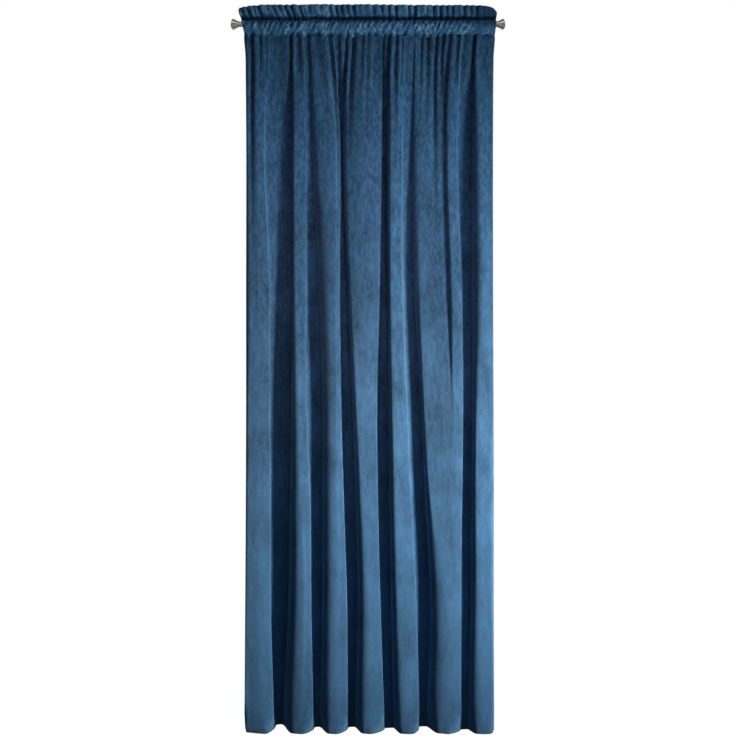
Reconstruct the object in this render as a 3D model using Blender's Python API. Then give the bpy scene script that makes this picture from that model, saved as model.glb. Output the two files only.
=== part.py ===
"""Velvet curtain panel gathered on a metal rod that ends in trumpet finials.

Frame: metres, +Z up. The origin is on the rod's axis, halfway along it. +X runs to the right
along the rod, and +Y runs back, towards the wall that the rod's brackets stand on.

The panel is one piece of cloth. A row of it, cut level, is a wavy line across the panel. Seven
folds give that line its shape, and narrow creases from the gathered heading ride on it. The
depth of each row is then set so that the line is as long as the cloth is wide. The heading
has a front and a back layer that part to make the rod pocket, and a ruffle stands above it.
"""

from collections import namedtuple
from math import cos, pi, radians, sin

import bmesh
import bpy
import numpy as np

MM = 0.001

# ---- Driving sizes, in metres ----
CLOTH_WIDTH = 1.400  # the panel pulled flat between its side hems
CLOTH_THICK = 0.0022
RUFFLE_TOP = 0.068  # the ruffle's highest point, midway along the rod
UPPER_STITCH = 0.018  # above the rod
LOWER_STITCH = -0.040  # below the rod
HEM = -2.4295

ROD_RADIUS = 0.008
ROD_HALF_LENGTH = 0.452
FIT_GAP = 0.0003  # between the rod and the socket that it seats in

FINIAL_START = 0.4305  # from the middle of the rod to a finial's inner end
FINIAL_TIP = 0.4725
COLLAR_LENGTH = 0.010
COLLAR_RADIUS = 0.0088
FLARE_RADIUS = 0.0188
FLARE_BEND = 1.35  # 1 is a straight cone, more is a trumpet
RIM_WIDTH = 0.0022
DOME_HEIGHT = 0.0075
DOME_INSET = 0.0012  # from the rim's edge in to the dome

POCKET_CLEARANCE = 0.0030  # between a finial's collar and the cloth's middle
GATHER = 0.0145  # depth of the gathers along the two stitch lines
RUFFLE_FLARE = 0.35  # how much deeper the gathers are along the ruffle's top edge
LEFT_SPREAD = 0.046  # how much wider the ruffle is at its top, as a share, on each side
RIGHT_SPREAD = 0.018
LEFT_END_CURL = 0.008  # how far the ends of the heading curl back
RIGHT_END_CURL = 0.014
END_CURL_START = 0.88  # share of the way to the side where that curl starts
END_FLARE = 0.008  # how far the sides spread at the heading, over END_FLARE_REACH
END_FLARE_REACH = 0.080
RECESS = 0.014  # how far back the upper stitch line sits
RECESS_REACH = 0.020
OVER_ROD = 0.15  # share of the gathers' depth that is left where the cloth is tight on the rod
OVER_ROD_REACH = 0.012  # above the lower stitch line, where the gathers flatten
TIGHTENING = 0.18  # share of the cloth's width in tiny gathers along the lower stitch line
TIGHTENING_REACH = 0.650
HEM_ROUNDING_REACH = 0.070  # above the hem, where the folds' corners grow rounder
LEFT_CORNER = 0.040  # how far back the left side's lower corner turns
CRISP = 0.0003  # how far before a fold's edge its front ends
WIDE_CORNER = 0.040  # a corner this wide at the hem is cut straight, a narrower one is rounder
WIDE_FRONT = 0.040  # a front wider than this also leans back on its left, by FRONT_TILT
FRONT_TILT = 0.18

# ---- Mesh density ----
COLUMN_SPACING = 0.0215  # across the cloth, at most, averaged over the rows
PANEL_ROWS = (-0.075, -0.13, -0.22, -0.36, -0.58, -0.85, -1.15, -1.45, -1.75, -2.05, -2.36, -2.395)
POCKET_ROWS = (LOWER_STITCH, -0.026, -COLLAR_RADIUS, COLLAR_RADIUS, UPPER_STITCH)
RUFFLE_STEPS = 2
ROW_SAMPLES = 1401  # points along a row while its shape is worked out
TURNED_SIDES = 28
ROD_SIDES = 32
FLARE_STEPS = 7
DOME_STEPS = 5

# ---- Folds, in millimetres ----
# Each value is given at seven heights, from the lower stitch line down to the hem.
Level = namedtuple("Level", "stitch high upper middle lower low hem")
LEVEL_Z = Level(LOWER_STITCH, -0.360, -0.945, -1.290, -1.630, -1.975, HEM)
LEFT_SIDE = Level(-421, -417, -417, -417, -418, -420, -424)
RIGHT_SIDE = Level(432, 430, 430, 431, 432, 432, 434)
LEFT_CURL = Level(8, 10, 14, 15, 12, 9, 14)
RIGHT_CURL = Level(12, 24, 30, 33, 33, 36, 44)

# shoulder: left end of the fold's front. edge: the front's right end.
# valley: the hollow to its right. depth: how far back that hollow lies.
# slant: how far the hollow's wall leans right, or, below 0, how far the front overhangs it.
# turn: how far back the front's right end lies. corner: how wide it is rounded at the hem.
Fold = namedtuple("Fold", "shoulder edge valley depth slant turn corner")
FOLDS = (
    Fold(
        shoulder=Level(-390, -380, -374, -368, -374, -384, -398),
        edge=Level(-345, -358, -337, -336, -334, -334, -322),
        valley=Level(-261, -264, -264, -270, -276, -284, -305),
        depth=Level(8, 26, 56, 86, 96, 98, 108),
        slant=Level(4, 4, -6, -14, -16, -14, -8),
        turn=0,
        corner=20,
    ),
    Fold(
        shoulder=Level(-247, -250, -248, -242, -234, -222, -240),
        edge=Level(-220, -214, -214, -211, -198, -195, -187),
        valley=Level(-205, -200, -176, -166, -164, -164, -172),
        depth=Level(8, 24, 54, 64, 72, 72, 80),
        slant=Level(0, -3, -4, -10, -13, -11, -4),
        turn=0,
        corner=33,
    ),
    Fold(
        shoulder=Level(-160, -122, -116, -112, -112, -108, -118),
        edge=Level(-118, -99, -97, -93, -84, -73, -64),
        valley=Level(-72, -79, -70, -58, -47, -40, -50),
        depth=Level(8, 70, 84, 80, 74, 73, 80),
        slant=Level(0, 0, -4, -7, -9, -8, -2),
        turn=0,
        corner=34,
    ),
    Fold(
        shoulder=Level(-48, -56, -52, -38, -20, 2, -4),
        edge=Level(48, 46, 38, 30, 33, 41, 57),
        valley=Level(72, 63, 66, 68, 71, 76, 84),
        depth=Level(8, 68, 82, 76, 70, 68, 70),
        slant=Level(0, -2, -4, -6, -8, -6, 0),
        turn=0,
        corner=45,
    ),
    Fold(
        shoulder=Level(92, 80, 78, 86, 98, 110, 126),
        edge=Level(122, 117, 116, 139, 151, 165, 176),
        valley=Level(158, 160, 164, 182, 193, 206, 198),
        depth=Level(6, 28, 50, 64, 74, 82, 86),
        slant=Level(0, 1, 6, 0, -7, -8, -2),
        turn=0,
        corner=24,
    ),
    Fold(
        shoulder=Level(190, 184, 186, 198, 226, 270, 258),
        edge=Level(318, 304, 321, 325, 324, 316, 318),
        valley=Level(365, 366, 364, 358, 354, 350, 340),
        depth=Level(8, 38, 62, 66, 58, 54, 54),
        slant=Level(4, 2, 0, -5, -7, -6, -1),
        turn=0,
        corner=44,
    ),
    Fold(
        shoulder=Level(376, 384, 378, 372, 374, 384, 384),
        edge=Level(425, 424, 424, 424, 424, 425, 429),
        valley=RIGHT_SIDE,
        depth=RIGHT_CURL,
        slant=Level(4, 3, 2, 2, 2, 2, 4),
        turn=8,
        corner=17,
    ),
)

# ---- Gathers, in millimetres ----
# One row for each hollow of the gathered heading: its place along the lower stitch line, its
# depth in the panel there, and how far below the stitch line it dies out.
Gather = namedtuple("Gather", "x depth reach")
GATHERS = (
    Gather(-400, 26, 1100),
    Gather(-362, 15, 150),
    Gather(-338, 15, 760),
    Gather(-313, 15, 150),
    Gather(-288, 15, 240),
    Gather(-261, 18, 500),
    Gather(-236, 14, 900),
    Gather(-205, 17, 500),
    Gather(-175, 15, 900),
    Gather(-151, 14, 700),
    Gather(-128, 16, 340),
    Gather(-103, 16, 420),
    Gather(-72, 18, 400),
    Gather(-44, 15, 900),
    Gather(-20, 15, 150),
    Gather(6, 13, 800),
    Gather(30, 14, 420),
    Gather(54, 17, 300),
    Gather(72, 16, 300),
    Gather(95, 15, 900),
    Gather(124, 15, 560),
    Gather(158, 16, 500),
    Gather(182, 14, 260),
    Gather(201, 13, 150),
    Gather(225, 18, 900),
    Gather(257, 25, 1900),
    Gather(292, 15, 300),
    Gather(312, 14, 150),
    Gather(332, 16, 560),
    Gather(365, 17, 300),
    Gather(392, 11, 420),
)

# Part of each gather's depth fades just below the heading, the rest over the gather's reach.
NEAR_SHARE = 0.35
NEAR_REACH = 220
SHALLOWNESS = 0.46  # the gathers start shallower by this share at the lower stitch line
SHALLOW_REACH = 170
HOLLOW_SHARPNESS = 1.5
WIDENING_REACH = 450  # a crease is twice as wide this far below the heading

# The height of the ruffle's top edge along the rod, both in millimetres.
EdgePoint = namedtuple("EdgePoint", "x height")
RUFFLE_EDGE = (
    EdgePoint(-445, 60),
    EdgePoint(-390, 65),
    EdgePoint(-200, 68),
    EdgePoint(0, 68),
    EdgePoint(200, 66),
    EdgePoint(390, 64),
    EdgePoint(420, 62),
    EdgePoint(434, 57),
    EdgePoint(443, 47),
    EdgePoint(447, 42),
)

MATERIALS = {
    "blue velvet": ((0.045, 0.12, 0.21), 0.85, 0.0),
    "satin nickel": ((0.62, 0.61, 0.60), 0.35, 1.0),
}


def curve(places, values, at):
    """Return a smooth line through the given points, read at the places in at."""
    places = np.asarray(places, dtype=float)
    values = np.asarray(values, dtype=float)
    at = np.asarray(at, dtype=float)
    steps = np.diff(places)
    slopes = np.diff(values) / steps
    tangents = np.empty_like(values)
    tangents[1:-1] = (slopes[:-1] * steps[1:] + slopes[1:] * steps[:-1]) / (steps[:-1] + steps[1:])
    tangents[0] = slopes[0]
    tangents[-1] = slopes[-1]
    span = np.clip(np.searchsorted(places, at) - 1, 0, len(steps) - 1)
    width = steps[span]
    f = np.clip((at - places[span]) / width, 0.0, 1.0)
    start = values[span] * (1 + 2 * f) * (1 - f) ** 2 + tangents[span] * width * f * (1 - f) ** 2
    end = values[span + 1] * f * f * (3 - 2 * f) - tangents[span + 1] * width * f * f * (1 - f)
    return start + end


def ease(value):
    """Return 0 up to 0 and 1 from 1, with a smooth rise between them."""
    f = np.clip(value, 0.0, 1.0)
    return f * f * (3 - 2 * f)


def at_height(levels, z):
    """Return a fold's measure at height z, in metres."""
    heights = [-height for height in LEVEL_Z]
    return float(curve(heights, levels, -z)) * MM


def fold_line(z):
    """Return the row at height z before its depth is set: places along it, x and depth.

    A place is a number of folds: 0 at the left side, 1 in the first valley, and so on.
    """
    places = [0.0]
    across = [at_height(LEFT_SIDE, z)]
    rounding = 1 - float(ease((z - HEM) / HEM_ROUNDING_REACH))
    depths = [at_height(LEFT_CURL, z) + LEFT_CORNER * rounding]

    def section(sharp, rounded):
        return sharp + (rounded - sharp) * rounding

    for number, fold in enumerate(FOLDS):
        left = across[-1]
        left_depth = depths[-1]
        shoulder = at_height(fold.shoulder, z)
        edge = at_height(fold.edge, z)
        valley = at_height(fold.valley, z)
        depth = at_height(fold.depth, z)
        slant = at_height(fold.slant, z) * (1 - rounding)
        turn = fold.turn * MM * (1 - rounding)
        corner = fold.corner * MM
        lean = max(slant, 0.0)
        flank = shoulder - left
        front = edge - shoulder
        middle = section(shoulder + 0.5 * (front - lean), edge - corner)
        near_edge = edge - section(lean + CRISP, 0.45 * corner)
        at_edge = edge - section(0.0, 0.15 * corner)
        wide = min(corner / WIDE_CORNER, 1.0)
        tilt = FRONT_TILT * max(front - WIDE_FRONT, 0.0)
        flank_depth = section(0.34, 0.44) * left_depth
        points = (
            (0.12, left + section(0.16, 0.24) * flank, section(0.64, 0.80) * left_depth),
            (0.22, left + section(0.32, 0.42) * flank, flank_depth + 0.3 * tilt),
            (0.34, left + 0.64 * flank, 0.11 * left_depth + 0.7 * tilt),
            (0.46, shoulder, 0.02 * left_depth + tilt),
            (0.60, middle, section(0.03, 0.04) * depth + 0.4 * turn),
            (0.76, near_edge, section(0.055, 0.16 + 0.14 * wide) * depth + 0.95 * turn),
            (0.80, at_edge, section(0.09, 0.34 + 0.22 * wide) * depth + turn),
            (0.88, edge + slant, section(0.70, 0.62 + 0.24 * wide) * depth),
            (0.94, edge + slant + 0.14 * (valley - edge), 0.95 * depth),
            (1.00, valley, depth),
        )
        for place, x, back in points:
            places.append(number + place)
            across.append(x)
            depths.append(back)
    return places, across, depths


def gather_places():
    """Return where each gather's hollow lies along the stitch line, counted in folds."""
    fine = np.linspace(0, len(FOLDS), ROW_SAMPLES)
    places, across, _ = fold_line(LOWER_STITCH)
    line = np.maximum.accumulate(curve(places, across, fine))
    return np.interp([gather.x * MM for gather in GATHERS], line, fine)


HOLLOWS = gather_places()
RIDGES = (HOLLOWS[:-1] + HOLLOWS[1:]) / 2
LAST = float(len(FOLDS))


def stitched_across(at):
    """Return x along the lower stitch line, even from each hollow to the next."""
    places = [0.0, *HOLLOWS, LAST]
    across = [LEFT_SIDE.stitch, *(gather.x for gather in GATHERS), RIGHT_SIDE.stitch]
    return np.interp(at, places, across) * MM


def gather_wave(at):
    """Return the heading's gathers: 1 in a hollow, -1 on the ridge between two hollows."""
    knots = [(0.0, -0.2), (HOLLOWS[0] / 2, -1.0), ((HOLLOWS[-1] + LAST) / 2, -1.0), (LAST, -0.2)]
    knots += [(place, 1.0) for place in HOLLOWS]
    knots += [(place, -1.0) for place in RIDGES]
    knots.sort()
    places, values = (np.array(column) for column in zip(*knots))
    span = np.clip(np.searchsorted(places, at) - 1, 0, len(places) - 2)
    f = ease((at - places[span]) / (places[span + 1] - places[span]))
    return values[span] + (values[span + 1] - values[span]) * f


def creases(at, z):
    """Return how deep the gathers still are in the panel at height z, in metres."""
    below = (LOWER_STITCH - z) / MM
    widening = 1 + float(ease(below / WIDENING_REACH))
    left_ends = np.concatenate(([HOLLOWS[0] / 2], RIDGES))
    right_ends = np.concatenate((RIDGES, [(HOLLOWS[-1] + LAST) / 2]))
    near = NEAR_SHARE * ease(below / NEAR_REACH)
    shallow = 1 - SHALLOWNESS * (1 - float(ease(below / SHALLOW_REACH)))
    total = np.zeros_like(at)
    for gather, place, left, right in zip(GATHERS, HOLLOWS, left_ends, right_ends):
        fade = 1 - near - (1 - NEAR_SHARE) * ease(below / gather.reach)
        reach = widening * np.where(at < place, place - left, right - place)
        hollow = (1 - ease(np.abs(at - place) / reach)) ** HOLLOW_SHARPNESS
        total += gather.depth * MM * fade * hollow
    return total * shallow


def row_length(x, y):
    """Return the length of a row."""
    return float(np.hypot(np.diff(x), np.diff(y)).sum())


def deepened(x, folds, narrow, length):
    """Return the row's depth: the folds scaled so that the row has the given length.

    The narrow creases keep their depth. The row is then centred on the rod's plane.
    """
    low, high = 0.0, 4.0
    for _ in range(30):
        scale = (low + high) / 2
        if row_length(x, scale * folds + narrow) < length:
            low = scale
        else:
            high = scale
    y = scale * folds + narrow
    steps = np.hypot(np.gradient(x), np.gradient(y))
    return y - float((y * steps).sum() / steps.sum())


def panel_row(z, columns):
    """Return x and y of the cloth's middle at height z below the rod pocket."""
    fine = np.linspace(0, LAST, ROW_SAMPLES)
    places, across, depths = fold_line(z)
    x = curve(places, across, fine)
    near = 1 - float(ease((LOWER_STITCH - z) / END_FLARE_REACH))
    x = x * (1 + END_FLARE * near / CLOTH_WIDTH * 2)
    tight = TIGHTENING * (1 - float(ease((LOWER_STITCH - z) / TIGHTENING_REACH)))
    length = CLOTH_WIDTH * (1 - tight)
    y = deepened(x, curve(places, depths, fine), creases(fine, z), length)
    return np.interp(columns, fine, x), np.interp(columns, fine, y)


def bulge(z):
    """Return how far the pocket's layers part at height z: 0 at a stitch line, 1 at the rod."""
    above = ease((UPPER_STITCH - z) / (UPPER_STITCH - COLLAR_RADIUS))
    below = ease((z - LOWER_STITCH) / (-COLLAR_RADIUS - LOWER_STITCH))
    return float(above * below)


def heading_row(z, columns):
    """Return x and y of the cloth's middle at height z in the pocket or the ruffle."""
    x = stitched_across(columns)
    rise = ease((z - LOWER_STITCH) / (RUFFLE_TOP - LOWER_STITCH))
    side = np.abs(x) / (RIGHT_SIDE.stitch * MM)
    widening = np.where(x < 0, LEFT_SPREAD, RIGHT_SPREAD)
    spread = x * (1 + END_FLARE / CLOTH_WIDTH * 2 + widening * rise * side)
    ruffled = ease((z - COLLAR_RADIUS) / (UPPER_STITCH - COLLAR_RADIUS))
    flare = 1 + RUFFLE_FLARE * ease((z - UPPER_STITCH) / (RUFFLE_TOP - UPPER_STITCH))
    left_over = 1 - (1 - OVER_ROD) * ease((z - LOWER_STITCH) / OVER_ROD_REACH)
    depth = (left_over * (1 - ruffled) + flare * ruffled) * GATHER / 2 * gather_wave(columns)
    depth += RECESS * (1 - ease(abs(z - UPPER_STITCH) / RECESS_REACH))
    end = np.where(x < 0, LEFT_END_CURL, RIGHT_END_CURL) * (1 - bulge(z))
    return spread, depth + end * ease((side - END_CURL_START) / (1 - END_CURL_START))


def ruffle_row(share, columns):
    """Return x, y and z of a row of the ruffle, at a share of its height."""
    x, y = heading_row(UPPER_STITCH + (RUFFLE_TOP - UPPER_STITCH) * share, columns)
    places, heights = zip(*RUFFLE_EDGE)
    top = curve(np.array(places) * MM, np.array(heights) * MM, x)
    return x, y, UPPER_STITCH + (top - UPPER_STITCH) * share


def column_places():
    """Return the places of the mesh's columns: the hollows, the ridges and points between."""
    places = sorted({0.0, LAST, *HOLLOWS, *RIDGES, *range(1, len(FOLDS))})
    kept = [places[0]]
    for place in places[1:]:
        if place - kept[-1] > 0.02:
            kept.append(place)
    columns = np.array(kept)
    columns[-1] = LAST
    rows = [z for z in PANEL_ROWS if z < -0.3]
    while True:
        gaps = np.zeros(len(columns) - 1)
        for z in rows:
            x, y = panel_row(z, columns)
            gaps += np.hypot(np.diff(x), np.diff(y)) / len(rows)
        wide = np.nonzero(gaps > COLUMN_SPACING)[0]
        if not len(wide):
            return columns
        columns = np.sort(np.concatenate((columns, (columns[wide] + columns[wide + 1]) / 2)))


def surface_normals(grid):
    """Return unit normals, pointing back, of a grid of points in rows and columns."""
    along = np.gradient(grid, axis=1)
    up = np.gradient(grid, axis=0)
    normals = np.cross(up, along)
    normals /= np.linalg.norm(normals, axis=2, keepdims=True)
    return normals


def stacked(rows):
    """Return rows of (x, y, z) as one grid of points."""
    return np.array([np.stack((x, y, np.broadcast_to(z, x.shape)), axis=1) for x, y, z in rows])


def curtain_mesh():
    """Return the panel's mesh: front and back skins, joined at the sides, hem and ruffle."""
    columns = column_places()
    half = CLOTH_THICK / 2
    part = COLLAR_RADIUS + POCKET_CLEARANCE + GATHER / 2

    panel_z = [HEM, *reversed(PANEL_ROWS), LOWER_STITCH]
    panel = stacked([(*panel_row(z, columns), z) for z in panel_z[:-1]])
    seam_x, seam_y = heading_row(LOWER_STITCH, columns)
    panel = np.concatenate((panel, stacked([(seam_x, seam_y, LOWER_STITCH)])))

    pocket_rows = [(*heading_row(z, columns), z) for z in POCKET_ROWS]
    front = stacked([(x, y - part * bulge(z), z) for x, y, z in pocket_rows])
    back = stacked([(x, y + part * bulge(z), z) for x, y, z in pocket_rows])

    ruffle_rows = [ruffle_row(step / RUFFLE_STEPS, columns) for step in range(RUFFLE_STEPS + 1)]
    ruffle = stacked(ruffle_rows)

    front_side = np.concatenate((panel, front[1:-1], ruffle))
    back_side = np.concatenate((panel, back[1:-1], ruffle))
    outer_front = front_side - half * surface_normals(front_side)
    outer_back = back_side + half * surface_normals(back_side)
    first = len(panel) - 1
    last = first + len(POCKET_ROWS) - 1
    inner_front = (front_side + half * surface_normals(front_side))[first : last + 1]
    inner_back = (back_side - half * surface_normals(back_side))[first : last + 1]
    for end, lift in ((0, 0.003), (-1, -0.003)):
        meeting = (front[end] + back[end]) / 2
        meeting[:, 2] += lift
        inner_front[end] = meeting
        inner_back[end] = meeting
    return build_solid(outer_front, outer_back, inner_front, inner_back, first, last)


def build_solid(outer_front, outer_back, inner_front, inner_back, first, last):
    """Return a bmesh of the cloth: its two skins, the pocket's inside and the edges."""
    solid = bmesh.new()

    def points(grid):
        return [[solid.verts.new(point) for point in row] for row in grid]

    front = points(outer_front)
    back = points(outer_back)
    inside_front = points(inner_front)
    inside_back = points(inner_back[1:-1])
    inside_back = [inside_front[0], *inside_back, inside_front[-1]]

    def skin(low, high):
        for left in range(len(low) - 1):
            solid.faces.new((low[left], low[left + 1], high[left + 1], high[left]))

    for rows in (front, back, inside_front, inside_back):
        for low, high in zip(rows[:-1], rows[1:]):
            skin(low, high)
    skin(front[0], back[0])
    skin(front[-1], back[-1])
    for side in (0, -1):
        for low in range(len(front) - 1):
            if first <= low < last:
                step = low - first
                for outer, inner in ((front, inside_front), (back, inside_back)):
                    solid.faces.new(
                        (
                            outer[low][side],
                            outer[low + 1][side],
                            inner[step + 1][side],
                            inner[step][side],
                        )
                    )
            else:
                solid.faces.new(
                    (front[low][side], front[low + 1][side], back[low + 1][side], back[low][side])
                )
        solid.faces.new((front[first][side], back[first][side], inside_front[0][side]))
        solid.faces.new((front[last][side], back[last][side], inside_front[-1][side]))
    bmesh.ops.recalc_face_normals(solid, faces=solid.faces)
    return solid


def finial_profile():
    """Return a finial's outline as (distance from its inner end, radius), axis to axis."""
    length = FINIAL_TIP - FINIAL_START
    socket_depth = ROD_HALF_LENGTH - FINIAL_START + FIT_GAP
    socket_radius = ROD_RADIUS + FIT_GAP
    rim_front = length - DOME_HEIGHT
    flare_length = rim_front - RIM_WIDTH - COLLAR_LENGTH
    points = [(socket_depth, 0.0), (socket_depth, socket_radius), (0.0, socket_radius)]
    points.append((0.0, COLLAR_RADIUS))
    for step in range(FLARE_STEPS + 1):
        f = step / FLARE_STEPS
        radius = COLLAR_RADIUS + (FLARE_RADIUS - COLLAR_RADIUS) * f**FLARE_BEND
        points.append((COLLAR_LENGTH + flare_length * f, radius))
    points.append((rim_front, FLARE_RADIUS))
    for step in range(DOME_STEPS):
        angle = pi / 2 * step / DOME_STEPS
        radius = (FLARE_RADIUS - DOME_INSET) * cos(angle)
        points.append((rim_front + DOME_HEIGHT * sin(angle), radius))
    points.append((length, 0.0))
    return points


def turned_mesh(profile, sides):
    """Return a bmesh turned about the X axis from an outline that starts and ends on it."""
    solid = bmesh.new()
    rings = []
    for x, radius in profile:
        if radius == 0.0:
            rings.append([solid.verts.new((x, 0.0, 0.0))])
            continue
        angles = [2 * pi * side / sides for side in range(sides)]
        rings.append([solid.verts.new((x, radius * cos(a), radius * sin(a))) for a in angles])
    for ring, following in zip(rings[:-1], rings[1:]):
        for side in range(sides):
            after = (side + 1) % sides
            if len(ring) == 1:
                corners = (ring[0], following[side], following[after])
            elif len(following) == 1:
                corners = (ring[side], ring[after], following[0])
            else:
                corners = (ring[side], ring[after], following[after], following[side])
            solid.faces.new(corners)
    bmesh.ops.recalc_face_normals(solid, faces=solid.faces)
    return solid


def material(name):
    """Return a Principled material from the table of materials."""
    colour, roughness, metallic = MATERIALS[name]
    made = bpy.data.materials.new(name)
    made.use_nodes = True
    shader = made.node_tree.nodes["Principled BSDF"]
    shader.inputs["Base Color"].default_value = (*colour, 1.0)
    shader.inputs["Roughness"].default_value = roughness
    shader.inputs["Metallic"].default_value = metallic
    return made


def add_node(name, solid, finish):
    """Turn a bmesh into a named, smooth-shaded object with its material."""
    mesh = bpy.data.meshes.new(name)
    solid.to_mesh(mesh)
    solid.free()
    mesh.shade_smooth()
    mesh.set_sharp_from_angle(angle=radians(35))
    mesh.materials.append(material(finish))
    made = bpy.data.objects.new(name, mesh)
    bpy.context.collection.objects.link(made)
    return made


def main():
    """Clear the scene and build the panel, the rod and its two finials."""
    for old in list(bpy.data.objects):
        bpy.data.objects.remove(old)
    add_node("curtain_panel", curtain_mesh(), "blue velvet")
    bar = [
        (-ROD_HALF_LENGTH, 0.0),
        (-ROD_HALF_LENGTH, ROD_RADIUS),
        (ROD_HALF_LENGTH, ROD_RADIUS),
        (ROD_HALF_LENGTH, 0.0),
    ]
    add_node("rod", turned_mesh(bar, ROD_SIDES), "satin nickel")
    for name, turn in (("finial_right", 0.0), ("finial_left", pi)):
        finial = add_node(name, turned_mesh(finial_profile(), TURNED_SIDES), "satin nickel")
        finial.rotation_euler.z = turn
        finial.location.x = FINIAL_START * cos(turn)


main()
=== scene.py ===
"""A velvet curtain panel gathered on a metal rod, dressed for its portrait.

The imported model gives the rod's place and the size of everything. This file adds the looks: the
velvet with its folds, gathers, hems and stitches, the turned finials, the metal's finish, and a
pale stage with soft light. Lengths are in metres unless a name or a comment says otherwise.
"""

from collections import namedtuple
from math import cos, pi, radians, sin
from operator import mul

import bmesh
import bpy
import numpy as np
from bpy.props import FloatProperty, FloatVectorProperty, IntProperty, PointerProperty
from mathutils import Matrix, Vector


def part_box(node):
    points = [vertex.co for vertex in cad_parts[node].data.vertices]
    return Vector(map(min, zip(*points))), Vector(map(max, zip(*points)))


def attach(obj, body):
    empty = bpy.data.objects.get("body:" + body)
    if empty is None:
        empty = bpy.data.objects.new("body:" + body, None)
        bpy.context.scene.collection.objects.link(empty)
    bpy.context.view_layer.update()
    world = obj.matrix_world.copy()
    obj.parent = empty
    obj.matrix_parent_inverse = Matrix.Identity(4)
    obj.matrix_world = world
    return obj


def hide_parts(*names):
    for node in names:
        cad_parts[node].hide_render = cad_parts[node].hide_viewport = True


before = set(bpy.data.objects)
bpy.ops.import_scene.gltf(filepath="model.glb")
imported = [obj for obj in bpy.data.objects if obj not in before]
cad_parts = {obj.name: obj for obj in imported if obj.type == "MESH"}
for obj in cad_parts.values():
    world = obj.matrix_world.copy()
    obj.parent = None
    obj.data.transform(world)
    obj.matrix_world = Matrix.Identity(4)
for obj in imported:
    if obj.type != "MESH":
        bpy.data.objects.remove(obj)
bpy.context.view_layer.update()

bl_info = {
    "name": "Velvet curtain",
    "version": (1, 0, 0),
    "blender": (4, 5, 0),
    "location": "3D View > Sidebar > Curtain",
    "description": "Builds a velvet curtain on its rod, with hems, stitches and finials",
    "category": "Object",
}

MM = 0.001

# ---- Heights of the cloth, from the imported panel's box ----
PANEL_LOW, PANEL_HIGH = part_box("curtain_panel")
HEM = PANEL_LOW.z
RUFFLE_TOP = PANEL_HIGH.z
UPPER_STITCH = 0.018
LOWER_STITCH = -0.040
CLOTH_WIDTH = 1.400

# ---- The rod and its ends ----
FINIAL_INNER, FINIAL_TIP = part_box("finial_right")
COLLAR_RADIUS = 0.0088
COLLAR_LENGTH = 0.010
RIM_WIDTH = 0.0022
DOME_HEIGHT = 0.0075
DOME_STEP = 0.0006  # between the rim and the dome
EDGE_ROUNDING = 0.0005
FLARE_BEND = 1.35  # above 1 the trumpet opens late, towards its rim
FLARE_STEPS = 12
DOME_STEPS = 14
ARC_STEPS = 6

# ---- The sewing ----
SEAM_INSET = 0.003  # from a hem's inner edge out to its stitches
STITCH_SHARE = 0.72  # of the pitch, the rest is the gap to the next stitch
STITCH_SHOULDERS = (0.25, 0.75)  # the stretch of a stitch where its thread is at its full width
STITCH_STAND = 0.4  # how far that stretch is raised, as a share of half the thread's width

# ---- The heading: the rod pocket between the two stitch lines, and the ruffle above it ----
POCKET_CLEARANCE = 0.0030  # from the collars' radius out to the cloth, in a full gather's hollow
POCKET_SEAM = 0.003  # the pocket's layers meet this far inside its stitch lines
GATHER = 0.0145  # from a gather's ridge back to its hollow, at the lower stitch line
RUFFLE_FLARE = 0.35  # how much deeper the slits are at the ruffle's top edge
LEFT_SPREAD = 0.046  # how much wider the ruffle is at its top on each side, as a share
RIGHT_SPREAD = 0.018
LEFT_END_CURL = 0.008  # how far back the heading turns at its left end
RIGHT_END_CURL = 0.014
END_CURL_START = 0.88  # where that turn starts, as a share of the way out to the side
END_FLARE = 0.008  # how far the sides spread at the heading, over END_FLARE_REACH
END_FLARE_REACH = 0.080
RECESS = 0.014  # how far back the upper stitch line sits
RECESS_REACH = 0.020
OVER_ROD = 0.15  # share of the gathers' depth that is left where the cloth is tight on the rod
OVER_ROD_REACH = 0.012  # above the lower stitch line, where the gathers flatten
PUCKERS_RISE = 0.012  # above the lower stitch line, where the puckers reach their height
PUCKERS_FADE = 0.008  # below the upper stitch line, where they lose it again

# ---- The panel below the heading ----
TIGHTENING = 0.18  # share of the cloth's width in tiny gathers along the lower stitch line
TIGHTENING_REACH = 0.650
HEM_ROUNDING_REACH = 0.070  # above the hem, where the folds' corners grow rounder
LEFT_CORNER = 0.045  # how far back the left side's lower corner turns
CRISP = 0.0003  # how far before a fold's edge its front ends
SOFTEST = 0.2  # a fold's edge is rounded over at most this share of its front
WIDE_CORNER = 0.040  # a corner this wide at the hem is cut straight, a narrower one is rounder
CORNER_START = 0.62  # before a fold's edge, as shares of how wide its corner is rounded at the hem
CORNER_MIDDLE = 0.45
CORNER_END = 0.15
MOST_DEEPENING = 4.0  # the largest factor on the folds' depth that is tried
HALVINGS = 30  # of the range of factors, in the search for the right one

# ---- The mesh ----
PANEL_STEPS = 60
POCKET_STEPS = 16
RUFFLE_STEPS = 12
ROW_SAMPLES = 2801
HEM_STEP = 0.0015  # over which a hem's extra thickness ends
EDGE_PLACE = 0.76  # where in a fold its edge turns
EDGE_REACH = 0.035
EDGE_CROWDING = 8.0  # how strongly the columns are drawn to the folds' edges
EVEN_HEIGHTS = (-0.20, -0.50, -1.00, -1.60, -2.20)  # columns are evened out over these rows
TOP_CROWDING = 1.7  # rows lie closer together below the heading, where the gathers fade

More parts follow.
